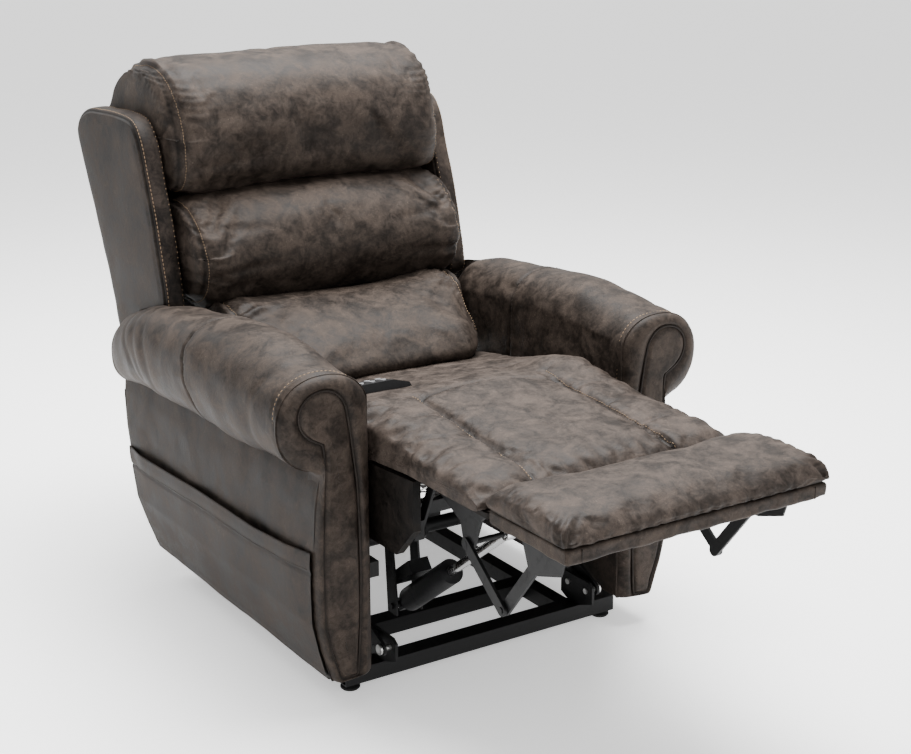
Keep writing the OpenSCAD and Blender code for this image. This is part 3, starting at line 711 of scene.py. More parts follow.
def buildBolster(name, look):
    count = 150
    centre, end = matched(look["centre"], look["end"], count)
    xs, w = roundedStations(look["half"], look["round"], 0.010)
    g = loftAcross(centre, end, xs, w, bulge=look["bulge"])
    if name != "lowerBolster":  # the top edge dips a little towards its ends
        g[..., 2] -= 0.006 * (np.abs(g[..., 0]) / look["half"]) ** 2 * (g[..., 2] > g[..., 2].mean())
    else:  # its ends turn away towards the arms
        g[..., 2] += (
            0.020 * (np.abs(g[..., 0]) / look["half"]) ** 2 * np.clip((g[..., 2] - 0.54) / 0.05, 0, 1)
        )
        away = np.clip((np.abs(g[..., 0]) - 0.18) / 0.08, 0, 1)
        g[..., 1] += (
            0.046 * away ** 2 * (3 - 2 * away) * np.clip((0.63 - g[..., 2]) / 0.06, 0, 1)
            * (g[..., 1] < 0.64)
        )
    seamX = look["half"] - bolsterFinish["seamInset"]
    x = g[..., 0]
    rear = np.clip((bolsterFinish["heldFrom"] - inFrontOfBack(g[..., 1], g[..., 2])) / 0.02, 0, 1)
    pinned = np.maximum(np.clip(1 - np.abs(np.abs(x) - seamX) / 0.012, 0, 1), rear)
    pinned = np.where(np.abs(x) >= seamX, 1.0, pinned)
    g = inflate(name + "Sim", g, pinned, cap=look["cap"])
    g = refine(g)
    n = gridNormals(g)
    inner = (np.abs(g[..., 0]) <= look["half"] + 1e-6).astype(float)
    move = addFolds(
        g, seamX, inner, bolsterFinish["seamDepth"], bolsterFinish["puckers"], bolsterFinish["pitch"], 1.7
    )
    move += bolsterFinish["sag"] * wave(g, 0.12, 4.2)
    move += bolsterFinish["uneven"] * wave(g * np.array([1.0, 1.0, 1.6]), 0.042, 9.1)
    if name == "headBolster":  # gathers fan out from the top corners
        d = np.sqrt((np.abs(g[..., 0]) - 0.29) ** 2 + (g[..., 1] - 0.90) ** 2 + (g[..., 2] - 1.075) ** 2)
        angle = np.arctan2(g[..., 2] - 1.075, 0.33 - np.abs(g[..., 0]))
        move += 0.0035 * np.sin(angle * 13 + 1.0) * np.exp(-(d / 0.07) ** 2)
        for k, z0 in enumerate((0.865, 0.905)):  # shallow pull lines above the lower crease
            move -= (
                0.0022 * dip(g[..., 2] - z0 - 0.012 * np.sin(g[..., 0] * 9 + k), 0.010)
                * np.clip((np.abs(g[..., 0]) - 0.12) / 0.12, 0, 1)
            )
    if name == "lumbarBolster":
        for k, z0 in enumerate((0.665, 0.690, 0.765)):
            move -= (
                0.0025 * dip(g[..., 2] - z0 - 0.010 * np.sin(g[..., 0] * 8 + 2 * k), 0.009)
                * np.clip((np.abs(g[..., 0]) - 0.10) / 0.12, 0, 1)
            )
    g = g + n * move[..., None]
    # painted shade darkening the seams near the bolster's ends
    paintedShade = 1 - 0.9 * dip(np.abs(np.abs(g[..., 0]) - seamX), 0.004) * inner
    g[..., 0] += look["shift"]
    obj = closedGrid(name, g, cover, paintedShade)
    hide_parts(look["node"])
    return obj, g, seamX


bolsters = {}
for name, look in bolsterLooks.items():
    obj, g, seamX = buildBolster(name, look)
    bolsters[name] = obj
    tree = surfaceOf(obj)
    for side in (-1, 1):
        ringIndex = int(np.argmin(np.abs(g[:, 0, 0] - bolsterLooks[name]["shift"] - side * (seamX - 0.006))))
        ring = g[ringIndex] + np.array([0, armFrontY, 0])
        rear = inFrontOfBack(ring[:, 1] - armFrontY, ring[:, 2]) < bolsterFinish["heldFrom"]
        keep = np.nonzero(~rear)[0]
        start = next((k for k in range(len(ring)) if rear[k - 1] and not rear[k]), 0)
        order = [i % len(ring) for i in range(start, start + len(keep))]
        spots, normals = laid(tree, ring[order], 0.0002)
        stitches = stitchRow(
            name + ("StitchLeft" if side < 0 else "StitchRight"), spots, normals, thread, pitch=0.0065,
            dash=0.0046, width=0.0011
        )
        if name == "lowerBolster":
            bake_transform(stitches)
        else:
            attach(stitches, look["body"])
    if name == "lowerBolster":
        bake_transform(obj)
    else:
        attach(obj, look["body"])
print("bolsters ready")


# wings and rear panel of the back

wingLook = {
    "outer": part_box("wing_right")[1][0] + 0.010, "inner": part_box("wing_right")[0][0] + 0.003,
    "edge": 0.012, "seamInset": 0.003, "seamDepth": 0.0028, "crown": 0.0028, "sag": 0.0026,
    "stitchInset": 0.0085, "stitchFrom": 0.10
}
wingLine = [backAt(.0, .0), backAt(.13, -.001), backAt(.27, .0), backAt(.40, .0), backAt(.485, .003),
    backAt(.502, .040), backAt(.498, .095),
            backAt(.470, .170), backAt(.434, .250), backAt(.397, .306), backAt(.355, .321),
            backAt(.275, .315), backAt(.197, .307), backAt(.115, .292),
            backAt(.040, .276), backAt(.008, .262), backAt(.0, .20), backAt(-.004, .10)]


def buildWing(side):
    half = (wingLook["outer"] - wingLook["inner"]) / 2
    middleX = (wingLook["outer"] + wingLook["inner"]) / 2
    line = closedCurve(wingLine, 240)
    r = wingLook["edge"]
    edge = insetLoop(line, r)
    a = np.linspace(0, math.pi / 2, 7)
    xs = np.concatenate([
        -(half - r) - r * np.sin(a[::-1]), np.linspace(-(half - r), half - r, 9)[1:-1],
        (half - r) + r * np.sin(a)
    ])
    w = np.concatenate([(1 - np.cos(a))[::-1], np.zeros(7), 1 - np.cos(a)])
    rings = []
    middle = edge.mean(0)
    for x, k in zip(xs, w):
        rings.append(np.column_stack([np.full(240, x), line * (1 - k) + edge * k]))
    caps = []
    for k in range(14):
        s = 1 - (k + 1) / 14.6
        caps.append((s, middle + (edge - middle) * s))
    low = [np.column_stack([np.full(240, -half - 0.004 * (1 - s ** 2)), c]) for s, c in caps][::-1]
    high = [np.column_stack([np.full(240, half + 0.004 * (1 - s ** 2)), c]) for s, c in caps]
    g = refine(np.array(low + rings + high))
    n = gridNormals(g)
    x = g[..., 0]
    band = (np.abs(x) <= half + 0.0005).astype(float)
    seam = half - wingLook["seamInset"]
    move = -wingLook["seamDepth"] * dip(np.abs(np.abs(x) - seam), 0.0028) * band
    move += wingLook["crown"] * (1 - (x / half) ** 2) * band
    move += wingLook["sag"] * wave(g, 0.12, 2.2 + side) + 0.0010 * wave(g, 0.04, 6.2 + side) * band
    g = g + n * move[..., None]
    # painted shade darkening the seams along the wing's edges
    paintedShade = 1 - 0.85 * dip(np.abs(np.abs(x) - seam), 0.0022) * band
    g[..., 0] += middleX
    g[..., 0] *= side
    name = "wingRight" if side > 0 else "wingLeft"
    # painted shade: the left wing takes the darker shaded copy of the cover, the right wing the plain cover
    obj = closedGrid(name, g, cover if side > 0 else coverPaintedShade, paintedShade)
    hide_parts("wing_right" if side > 0 else "wing_left")
    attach(obj, "back")
    tree = surfaceOf(obj)
    for edgeName, x0 in (
        ("Outer", half - wingLook["stitchInset"]), ("Inner", wingLook["stitchInset"] - half)
    ):
        pts = []
        order = [i for i in range(240) if wingLook["stitchFrom"] < inFrontOfBack(line[i][0], line[i][1])]
        for i in order:
            pts.append((side * (middleX + x0), line[i][0] + armFrontY, line[i][1]))
        spots, normals = laid(tree, pts, 0.0002)
        st = stitchRow(
            name + edgeName + "Stitch", spots, normals, thread,
            pitch=0.0085 if edgeName == "Outer" else 0.011, dash=0.0058 if edgeName == "Outer" else 0.003,
            width=0.0015
        )
        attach(st, "back")
    return obj


for side in (-1, 1):
    buildWing(side)


def buildBackPanel():
    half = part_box("back_shell")[1][0]
    line = closedCurve(
        [
            backAt(-.060, .0), backAt(.05, -.001), backAt(.2, -.002), backAt(.35, -.001),
            backAt(.484, .0), backAt(.489, .008), backAt(.484, .016), backAt(.35, .017), backAt(.2, .017),
            backAt(.05, .017), backAt(-.060, .016), backAt(-.066, .008)
        ],
        220
    )
    edge = insetLoop(line, 0.005)
    a = np.linspace(0, math.pi / 2, 5)
    xs = np.concatenate([
        -(half - .006) - .006 * np.sin(a[::-1]), np.linspace(-(half - .006), half - .006, 60)[1:-1],
        (half - .006) + .006 * np.sin(a)
    ])
    w = np.concatenate([(1 - np.cos(a))[::-1], np.zeros(58), 1 - np.cos(a)])
    g = loftAcross(line, edge, xs, w, capRings=4)
    n = gridNormals(g)
    u = (g[..., 1] - backCorner[0]) * math.sin(backLean) + (g[..., 2] - backCorner[1]) * math.cos(backLean)
    depth = inFrontOfBack(g[..., 1], g[..., 2])
    rear = np.clip((0.006 - depth) / 0.004, 0, 1)
    move = (
        rear
        * (
            0.004 * (1 - (g[..., 0] / half) ** 2) - 0.0035 * dip(u - 0.30, 0.004)
            + 0.004 * wave(g, 0.12, 6.0)
        )
    )
    g = g + n * move[..., None]
    # painted shade darkening the stitched cross seam of the rear panel
    paintedShade = 1 - 0.9 * rear * dip(u - 0.30, 0.003)
    obj = closedGrid("backPanel", g, coverPaintedShade, paintedShade)
    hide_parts("back_shell")
    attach(obj, "back")
    tree = surfaceOf(obj)
    for k, du in enumerate((-0.006, 0.006)):
        y, z = backAt(0.30 + du, -0.01)
        spots, normals = laid(
            tree, [(x, y + armFrontY, z) for x in np.linspace(-half + 0.01, half - 0.01, 90)], 0.0002
        )
        st = stitchRow("backPanelStitch%d" % (k + 1), spots, normals, darkThread)
        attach(st, "back")


buildBackPanel()
print("back ready")


# arms

armLook = {
    "rollX": 0.375, "rollHalf": 0.094, "edgeY": 0.024, "rollEnd": 0.872, "seamY": 0.402, "stitchY": 0.034,
    "seamDepth": 0.0038, "seamBend": 0.035, "sag": 0.0055
}
rollTop = (
    [0, .02, .075, .16, .245, .33, .42, .59, .72, .80, .86, .90],
    [.646, .648, .655, .667, .673, .671, .664, .643, .616, .590, .566, .545]
)
rollWide = ([0, .50, .70, .80, .86, .90], [.094, .094, .089, .081, .072, .066])  # half the roll's width
rollCrease = ([0, .02, .12, .28, .51, .69, .80, .895], [.4735, .473, .466, .457, .456, .446, .425, .402])


def rollSection(y, count=96):
    # closed outline of the roll in [x, z], from the outer crease over the top to the inner side
    top, low = np.interp(y, *rollTop), np.interp(y, *rollCrease)
    mid, tall = (top + low) / 2, (top - low) / 2
    a = np.linspace(-math.pi / 2, math.pi, int(count * 0.8))
    p = 2.25
    c, s = np.cos(a), np.sin(a)
    wide = np.interp(y, *rollWide)
    x = armLook["rollX"] - armLook["rollHalf"] + wide + wide * np.sign(c) * np.abs(c) ** (2 / p)
    z = mid + tall * np.sign(s) * np.abs(s) ** (2 / p)
    left = armLook["rollX"] - armLook["rollHalf"] + 0.006
    arc = np.column_stack([x, z])
    arc[:, 0] = np.maximum(arc[:, 0], left)
    down = np.column_stack([np.full(8, left), np.linspace(mid, low + 0.004, 9)[1:]])
    back = np.column_stack([np.linspace(left, armLook["rollX"], 8)[1:-1], np.full(6, low + 0.003)])
    return evenly(np.vstack([arc, down, back]), count, True)


def shoulderLine(y):  # the roll's inner side is cut away above this, where the wing passes
    return np.interp(y, [.60, .622, .751, .885, .96], [.69, .592, .520, .380, .380])


def shoulder(g, limit):
    y, z = g[..., 1], g[..., 2]
    share = np.clip((z - shoulderLine(y)) / 0.02, 0, 1) * np.clip((y - 0.618) / 0.02, 0, 1)
    g = g.copy()
    g[..., 0] = np.maximum(g[..., 0], limit * share + g[..., 0] * (1 - share))
    return g


def legX(z):  # outer face of the arm below the roll
    return np.interp(
        z, [.056, .080, .12, .18, .25, .325, .40, .44, .478],
        [.369, .377, .388, .4015, .403, .402, .396, .390, .380]
    )


def rearY(z):
    return np.interp(z, [.052, .080, .276, .399, .47, .60], [.762, .774, .834, .873, .885, .885])


def mirrored(g, side):
    g = g.copy()
    g[..., 0] *= side
    return g


def seamBend(x, z):  # the roll's cross seam runs forward as it goes down its outer side
    return armLook["seamBend"] * np.clip((x - 0.33) / 0.13, 0, 1) * np.clip((0.60 - z) / 0.12, 0, 1) ** 1.5


def buildRoll(side):
    ys = np.concatenate([[0.020], np.arange(0.024, armLook["rollEnd"] - 0.03, 0.008)])
    rings = [np.insert(rollSection(y), 1, y, axis=1) for y in ys]
    endY = ys[-1]
    base = rollSection(endY)
    middle = np.array(
        [armLook["rollX"] + 0.02, (np.interp(endY, *rollTop) + np.interp(endY, *rollCrease)) / 2 - 0.02]
    )
    for t in np.linspace(0, 1, 12)[1:]:
        a = t * math.pi / 2
        s = math.cos(a) * 0.94 + 0.06
        ring = middle + (base - middle) * s
        ring[:, 1] -= 0.02 * t
        rings.append(np.insert(ring, 1, endY + 0.034 * math.sin(a), axis=1))
    front = [
        np.insert(middle0 + (rings[0][:, [0, 2]] - middle0) * s, 1, 0.024, axis=1)
        for middle0 in [np.array([.371, .56])] for s in (0.1, 0.4, 0.7, 0.9)
    ]
    g = refine(np.array(front + rings))
    n = gridNormals(g)
    y = g[..., 1]
    s = np.array([arcAlong(q) for q in g])
    on = (y > 0.026).astype(float)
    seamY = armLook["seamY"] - seamBend(g[..., 0], g[..., 2])
    move = -armLook["seamDepth"] * dip(y - seamY, 0.0035) * on
    move += (
        0.0030 * wave(g * np.array([1.0, 0.45, 1.0]), 0.024, 7.7) * np.exp(-np.abs(y - seamY) / 0.024)
        * on
    )
    move += on * (armLook["sag"] * wave(g, 0.16, 3.3 + side) + 0.0022 * wave(g, 0.05, 5.0 - side))
    move -= 0.0016 * dip(y - armLook["stitchY"] - 0.004, 0.003) * on
    # drag lines near the shoulder
    for k, (yk, tilt) in enumerate(((0.60, 0.5), (0.655, 0.35), (0.70, 0.6), (0.12, -0.25))):
        move -= (
            0.0016 * dip(y - yk - tilt * (g[..., 2] - 0.55) - 0.01 * np.sin(s * 30 + k), 0.014)
            * np.clip((g[..., 0] - 0.35) / 0.06, 0, 1) * on
        )
    g = g + n * move[..., None]
    g = shoulder(g, 0.380)
    # painted shade darkening the roll's cross seam
    paintedShade = 1 - 0.85 * dip(y - seamY, 0.0028) * on
    name = "armRollRight" if side > 0 else "armRollLeft"
    obj = closedGrid(name, mirrored(g, side), cover, paintedShade)
    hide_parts("arm_roll_right" if side > 0 else "arm_roll_left")
    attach(obj, "chair")
    tree = surfaceOf(obj)
    for label, rowY in (("Front", armLook["stitchY"]), ("Seam", armLook["seamY"] - 0.006)):
        ring = rollSection(rowY, 160)[:128]
        stitchY = rowY - (seamBend(ring[:, 0], ring[:, 1]) if label == "Seam" else np.zeros(128))
        pts = np.column_stack([ring[:, 0] * side, stitchY + armFrontY, ring[:, 1]])
        spots, normals = laid(tree, pts[6:], 0.0002)
        st = stitchRow(
            name + label + "Stitch", spots, normals, thread if label == "Front" else darkThread,
            pitch=0.0085, dash=0.0058, width=0.0014
        )
        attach(st, "chair")


def legSection(y, count=120):
    top = np.interp(y, *rollCrease) + 0.012
    outer = [(legX(z), z) for z in np.linspace(0.062, top, 34)]
    inner = [(armInner + 0.001, z) for z in np.linspace(top, 0.062, 20)]
    inner[-1] = (armInner + 0.002, 0.064)
    return evenly(np.array(outer + inner), count, True)


def buildLeg(side):
    rings = []
    ts = np.concatenate([[0.0, 0.004], np.linspace(0.012, 0.988, 84), [0.996, 1.0]])
    for t in ts:
        y0 = armLook["edgeY"] - 0.006
        sec = legSection(y0 + t * 0.82)
        yEnd = rearY(sec[:, 1])
        y = y0 + t * (yEnd - y0)
        squeeze = 1.0 if t < 0.99 else (0.99 if t < 0.999 else 0.975)
        mid = sec.mean(0)
        sec = mid + (sec - mid) * squeeze
        rings.append(np.insert(sec, 1, y, axis=1))
    ends = []
    for s in (0.85, 0.6, 0.3, 0.08):
        last = rings[-1]
        ends.append(last.mean(0) + (last - last.mean(0)) * s)
    starts = [rings[0].mean(0) + (rings[0] - rings[0].mean(0)) * s for s in (0.08, 0.3, 0.6, 0.85)]
    g = np.array(starts + rings + ends)
    g = refine(g)
    n = gridNormals(g)
    out = np.clip((g[..., 0] - 0.36) / 0.01, 0, 1)
    move = out * (0.0035 * wave(g, 0.15, 1.0 + side) + 0.0012 * wave(g, 0.05, 7.0))
    g = g + n * move[..., None]
    g = shoulder(g, 0.380)
    name = "armPanelRight" if side > 0 else "armPanelLeft"
    obj = closedGrid(name, mirrored(g, side), coverPaintedShade)
    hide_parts("arm_cover_right" if side > 0 else "arm_cover_left")
    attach(obj, "chair")
    tree = surfaceOf(obj)
    rear = [
        (side * (legX(z) - 0.003), rearY(z) - 0.001 + armFrontY, z) for z in np.linspace(0.075, 0.40, 60)
    ]
    pipe = tube(name + "RearWelt", laid(tree, rear, 0.0005)[0], 0.0026, welt)
    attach(pipe, "chair")
    low = [(side * (legX(0.064) - 0.002), y + armFrontY, 0.063) for y in np.linspace(0.03, 0.745, 60)]
    hem = tube(name + "LowerWelt", laid(tree, low, 0.0003)[0], 0.0024, welt)
    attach(hem, "chair")


scroll = {"groove": 0.0075, "puff": 0.006, "weltRadius": 0.0022}
outlineKeys = [(.369, .058), (.379, .090), (.391, .130), (.4015, .180), (.403, .250), (.402, .325),
    (.397, .400), (.390, .440), (.384, .466),
               None, (.287, .545), (.286, .500), (.2865, .420), (.287, .340), (.287, .260), (.2875, .180),
                   (.288, .120), (.2885, .062)]
panelKeys = [(.358, .066), (.369, .100), (.380, .135), (.3885, .180), (.3895, .250), (.3895, .325),
    (.3865, .400), (.384, .455), (.3825, .498),
             None, (.3345, .566), (.328, .525), (.3175, .440), (.3145, .360), (.3135, .270),
                 (.3155, .185), (.319, .120), (.323, .068)]


def facingCurves():
    # outline and seam line of the arm's front, with matching points
    section = rollSection(armLook["edgeY"], 200)
    arc = evenly(section[: 158], 40, False)
    arc = arc[(arc[:, 1] > 0.478) | (arc[:, 0] < 0.33)]
    arc = arc[(arc[:, 1] > 0.55) | (arc[:, 0] > 0.35)]
    disc = [
        (.3850, .527), (.4005, .5345), (.4180, .547), (.4295, .566), (.4315, .588), (.4220, .608),
        (.4040, .6205), (.3810, .6240), (.3600, .6175), (.3435, .6000), (.3365, .5810)
    ]
    outline = np.vstack([np.array(outlineKeys[:9]), evenly(arc, 44, False), np.array(outlineKeys[10:])])
    inner = np.vstack(
        [np.array(panelKeys[:9]), evenly(openCurve(disc, 80), 44, False), np.array(panelKeys[10:])]
    )
    return outline, inner


def resampled(a, b, count):
    loop = np.vstack([a, a[:1]])
    s = np.concatenate([[0], np.cumsum(np.linalg.norm(np.diff(loop, axis=0), axis=1))])
    t = np.linspace(0, s[-1], count, endpoint=False)
    both = np.hstack([loop, np.vstack([b, b[:1]])])
    r = np.stack([np.interp(t, s, both[:, k]) for k in range(4)], 1)
    for _ in range(4):
        r = (np.roll(r, 1, 0) + 2 * r + np.roll(r, -1, 0)) / 4
    return r[:, :2], r[:, 2:]


def buildFacing(side):
    outline, inner = resampled(*facingCurves(), 320)
    spineX = np.interp(inner[:, 1], [.07, .18, .40, .47, .60], [.343, .352, .351, .356, .384])
    spineZ = np.clip(inner[:, 1], .105, .580)
    spine = np.column_stack([spineX, spineZ])
    edgeY = armLook["edgeY"]
    width = np.linalg.norm(outline - inner, axis=1)
    rings, paintedShadeRows = [], []
    for y in (0.060, 0.040, edgeY):
        rings.append(np.insert(outline, 1, y, axis=1))
        paintedShadeRows.append(np.ones(320))
    for t in np.linspace(0, 1, 12)[1:]:
        flat = outline * (1 - t) + inner * t
        depth = np.minimum(edgeY, width * 0.8)
        lift = (edgeY - depth) * (1 - t) ** 6 + depth * (1 - np.sqrt(1 - (1 - t) ** 2))
        dent = scroll["groove"] * math.exp(-((1 - t) * 4.2) ** 2)
        rings.append(
            np.insert(flat, 1, np.minimum(lift + dent * np.clip(width / 0.03, 0.35, 1), edgeY), axis=1)
        )
        # painted shade darkening the groove along the welt seam
        paintedShadeRows.append(np.full(320, 1 - 0.9 * math.exp(-((1 - t) * 5.5) ** 2)))
    reach = np.linalg.norm(inner - spine, axis=1)
    for t in np.linspace(0, 1, 12)[1:-1]:
        flat = inner * (1 - t) + spine * t
        d = reach * t
        dent = scroll["groove"] * np.exp(-(d / 0.0045) ** 2)
        rings.append(
            np.insert(
                flat, 1, 0.0035 + dent - scroll["puff"] * np.sqrt(np.clip(1 - (1 - t) ** 2, 0, 1)) * 0.6,
                axis=1
            )
        )
        # painted shade darkening the groove along the welt seam
        paintedShadeRows.append(1 - 0.9 * np.exp(-(d / 0.003) ** 2))
    g = np.array(rings)
    paintedShade = np.array(paintedShadeRows)
    g[3:, :, 1] += 0.0022 * wave(g[3:], 0.07, 8.0 + side)
    g[..., 1] = np.maximum(g[..., 1], 0.0006)
    verts = mirrored(g, side).reshape(-1, 3)
    faces = gridFaces(len(rings), 320, flip=(side > 0))
    name = "armFrontRight" if side > 0 else "armFrontLeft"
    last = (len(rings) - 1) * 320
    for j in range(160):  # the last ring folds shut along the spine
        a, b, c, d = last + j, last + (j + 1) % 320, last + (319 - j - 1) % 320, last + 319 - j
        if len({a, b, c, d}) == 4:
            faces.append((a, b, c, d) if side < 0 else (d, c, b, a))
    obj = meshFrom(name, verts, faces, cover, paintedShade)
    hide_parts("arm_facings")
    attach(obj, "chair")
    line = inner[4:-4]
    pipe = tube(
        name + "Welt", [(side * p[0], 0.0058 + armFrontY, p[1]) for p in line], scroll["weltRadius"], welt
    )
    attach(pipe, "chair")


pocketTop = ([0, .10, .22, .45, .60, .71, .84], [.321, .311, .302, .297, .290, .285, .283])
pocketLook = {"hem": 0.037, "skin": 0.0032, "stand": 0.0075, "low": 0.068}


def buildPocket(side):
    rows, cols = 60, 150
    outer, inner = [], []
    for i in range(rows):
        t = i / (rows - 1)
        row, backRow = [], []
        for j in range(cols):
            u = j / (cols - 1)
            y = 0.022 + u * 0.80
            top = np.interp(y, *pocketTop)
            z = pocketLook["low"] + t * (top - pocketLook["low"])
            y = 0.022 + u * (min(rearY(z) - 0.002, 0.85) - 0.022)
            ends = min(1.0, u / 0.12) * min(1.0, (1 - u) / 0.10)
            ends = ends * ends * (3 - 2 * ends)
            gap = pocketLook["stand"] * ends * max(0.0, (t - 0.35) / 0.65) ** 1.4
            drop = top - z
            hemDip = -0.0022 * math.exp(-((drop - pocketLook["hem"]) / 0.0025) ** 2)
            hemPuff = 0.0016 * math.exp(-((drop - pocketLook["hem"] * 0.5) / (pocketLook["hem"] * 0.4)) ** 2)
            soft = 0.003 * noise.noise(Vector((y * 7, z * 9, side * 3.0))) * min(1.0, u / 0.05)
            x = float(legX(z)) + 0.0022 + gap + hemDip + hemPuff + soft
            row.append((x + pocketLook["skin"], y, z))
            backRow.append((x, y, z - 0.001))
        outer.append(row)
        inner.append(backRow)
    lip = [[(a[0] * 0.75 + b[0] * 0.25, a[1], a[2] + 0.0016) for a, b in zip(outer[-1], inner[-1])],
           [(a[0] * 0.25 + b[0] * 0.75, a[1], a[2] + 0.0016) for a, b in zip(outer[-1], inner[-1])]]
    g = np.array(outer + lip + inner[::-1])
    # painted shade: darker along the hem seam, and the pocket's inner sheet darkened to 0.3 as shade inside
    # the opening
    paintedShade = np.ones(g.shape[:2])
    for i in range(rows):
        paintedShade[i] = 1 - 0.8 * dip(np.interp(g[i, :, 1], *pocketTop) - g[i, :, 2] - pocketLook["hem"], 0.0022)
    paintedShade[rows + 2:] = 0.3
    name = "pocketRight" if side > 0 else "pocketLeft"
    obj = meshFrom(
        name, mirrored(g, side), gridFaces(len(g), cols, flip=side < 0, closed=False), coverPaintedShade, paintedShade
    )
    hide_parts("side_pocket_right" if side > 0 else "side_pocket_left")
    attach(obj, "chair")
    tree = surfaceOf(obj)
    pts = [
        (side * 0.42, y + armFrontY, float(np.interp(y, *pocketTop)) - pocketLook["hem"] + 0.004)
        for y in np.linspace(0.03, 0.80, 120)
    ]
    spots, normals = laid(tree, pts, 0.0002)
    st = stitchRow(name + "HemStitch", spots, normals, darkThread, pitch=0.0065, dash=0.0045, width=0.0011)
    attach(st, "chair")


for side in (-1, 1):
    buildRoll(side)
    buildLeg(side)
    buildFacing(side)
    buildPocket(side)
print("arms ready")


# seat, with the pad that folds down at its front

seatLook = {
    "half": 0.277, "round": 0.055, "seamX": 0.142, "crestY": 0.075, "cap": 0.005, "seamDepth": 0.0085,
    "sag": 0.0042, "gathers": 0.0036, "creases": 0.0028
}
seatCentre = [(.548, .452), (.500, .471), (.417, .487), (.340, .499), (.272, .513), (.205, .528),
    (.153, .540), (.105, .548), (.060, .549), (-.020, .543), (-.115, .534),
              (-.200, .528), (-.262, .523), (-.300, .512), (-.318, .499), (-.320, .488), (-.304, .4805),
                  (-.228, .480), (-.116, .480), (0.0, .4715), (.153, .460), (.300, .449), (.450, .438),
                  (.540, .433)]
seatEnd = [(.545, .448), (.500, .460), (.417, .474), (.340, .486), (.272, .497), (.205, .508),
    (.153, .517), (.105, .523), (.060, .524), (-.020, .519), (-.115, .512),
           (-.200, .507), (-.262, .502), (-.296, .497), (-.311, .492), (-.314, .487), (-.302, .4825),
               (-.228, .4815), (-.116, .4815), (0.0, .473), (.153, .462), (.300, .451), (.450, .440),
               (.540, .435)]


seatCreases = [  # middle, direction and length of each crease
    (-0.235, 0.04, 0.9, 0.05), (-0.225, -0.05, 0.7, 0.045), (-0.23, -0.14, 0.5, 0.04),
    (0.20, 0.20, -0.4, 0.06), (0.09, 0.20, 0.3, 0.05), (-0.10, 0.14, 0.2, 0.05),
]


def buildSeat():
    centre, end = matched(seatCentre, seatEnd, 200)
    xs, w = roundedStations(seatLook["half"], seatLook["round"], 0.009)
    g = loftAcross(centre, end, xs, w, bulge=0.001)
    x, y, z = g[..., 0], g[..., 1], g[..., 2]
    floorZ = np.interp(y, [-.32, -.116, .55], [.481, .481, .435])
    top = np.clip((z - floorZ - 0.008) / 0.012, 0, 1)
    nearSeam = (
        np.clip(1 - np.abs(np.abs(x) - seatLook["seamX"]) / 0.009, 0, 1) * (y < seatLook["crestY"] + 0.02)
    )
    pinned = np.maximum(1 - top, np.maximum(nearSeam * 0.9, (np.abs(x) > seatLook["half"] - 0.006)))
    g = inflate("seatSim", g, pinned, pressure=3.5, cap=seatLook["cap"], slack=-0.025)
    g = refine(g)
    x, y, z = g[..., 0], g[..., 1], g[..., 2]
    n = gridNormals(g)
    floorZ = np.interp(y, [-.32, -.116, .55], [.481, .481, .435])
    top = np.clip((z - floorZ - 0.006) / 0.014, 0, 1)
    seamX = seatLook["seamX"] + 0.012 * np.clip((y + 0.05) / 0.3, -1, 1) ** 2
    crest = 0.055 + 0.035 * (1 - (x / 0.142) ** 2) - 0.015 * (x / 0.142)
    ahead = np.clip((crest - y) / 0.02, 0, 1)
    d = np.abs(np.abs(x) - seamX)
    move = -seatLook["seamDepth"] * dip(d, 0.0042) * top * ahead - 0.0030 * dip(d, 0.020) * top * ahead
    move += -0.005 * dip(y - crest, 0.006) * (np.abs(x) < seamX + 0.004) * top
    move += 0.006 * np.clip(1 - (x / 0.13) ** 2, 0, 1) * top * ahead
    move += 0.010 * np.exp(-((x - 0.205) / 0.06) ** 2 - ((y - 0.13) / 0.085) ** 2) * top
    move -= 0.007 * np.exp(-((x - 0.14) / 0.035) ** 2 - ((y - 0.17) / 0.07) ** 2) * top
    edge = np.abs(x) - (seatLook["half"] - 0.012)
    gather = wave(g * np.array([0.5, 1.0, 0.5]), 0.026, 12.3) * 2.4
    move += (
        seatLook["gathers"] * gather * np.exp(-np.abs(edge) / 0.028) * top
        * np.clip((0.30 - y) / 0.1, 0, 1)
    )
    frontPull = (
        np.exp(-((y + 0.315) / 0.035) ** 2) * np.sin(2 * math.pi * x / 0.040 + 2 * np.sin(x * 17))
        * 0.0018
    )
    move += frontPull * top
    for sx, sy, angle, reach in seatCreases:
        c, q = math.cos(angle), math.sin(angle)
        a, b = (x - sx) * c + (y - sy) * q, -(x - sx) * q + (y - sy) * c
        move -= seatLook["creases"] * np.exp(-(a / reach) ** 2 - (b / 0.008) ** 2) * top
    move += top * (seatLook["sag"] * wave(g, 0.13, 5.5) + 0.0012 * wave(g, 0.045, 2.5))
    g = g + n * move[..., None]
    # painted shade darkening the seat's seams and the crease behind its front pad
    paintedShade = (
        1
        - 0.9 * np.maximum(dip(d, 0.003) * ahead, dip(y - crest, 0.004) * (np.abs(x) < seamX + 0.004))
        * top
    )
    obj = closedGrid("seatCushion", g, coverPaintedLight, paintedShade)
    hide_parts("seat_cushion", "chaise_pad")
    tree = surfaceOf(obj)
    for side in (-1, 1):
        line = [
            (
                side * (seatLook["seamX"] + 0.012 * min(1, abs((yy + 0.05) / 0.3)) ** 2), yy + armFrontY,
                0.62
            )
            for yy in np.linspace(-0.30, 0.09, 90)
        ]
        pts = []
        for p in line:
            hit, nn, _, _ = tree.ray_cast(Vector((p[0] + side * 0.0065, p[1], 0.7)), Vector((0, 0, -1)))
            if hit is not None:
                pts.append((hit + nn * 0.0003, nn))
        st = stitchRow(
            "seatStitch" + ("Left" if side < 0 else "Right"), [a for a, _ in pts], [b for _, b in pts],
            thread, pitch=0.0075, dash=0.0052, width=0.0012
        )
        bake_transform(st)
    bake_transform(obj)
    return obj


buildSeat()

print("seat ready")


# footrest

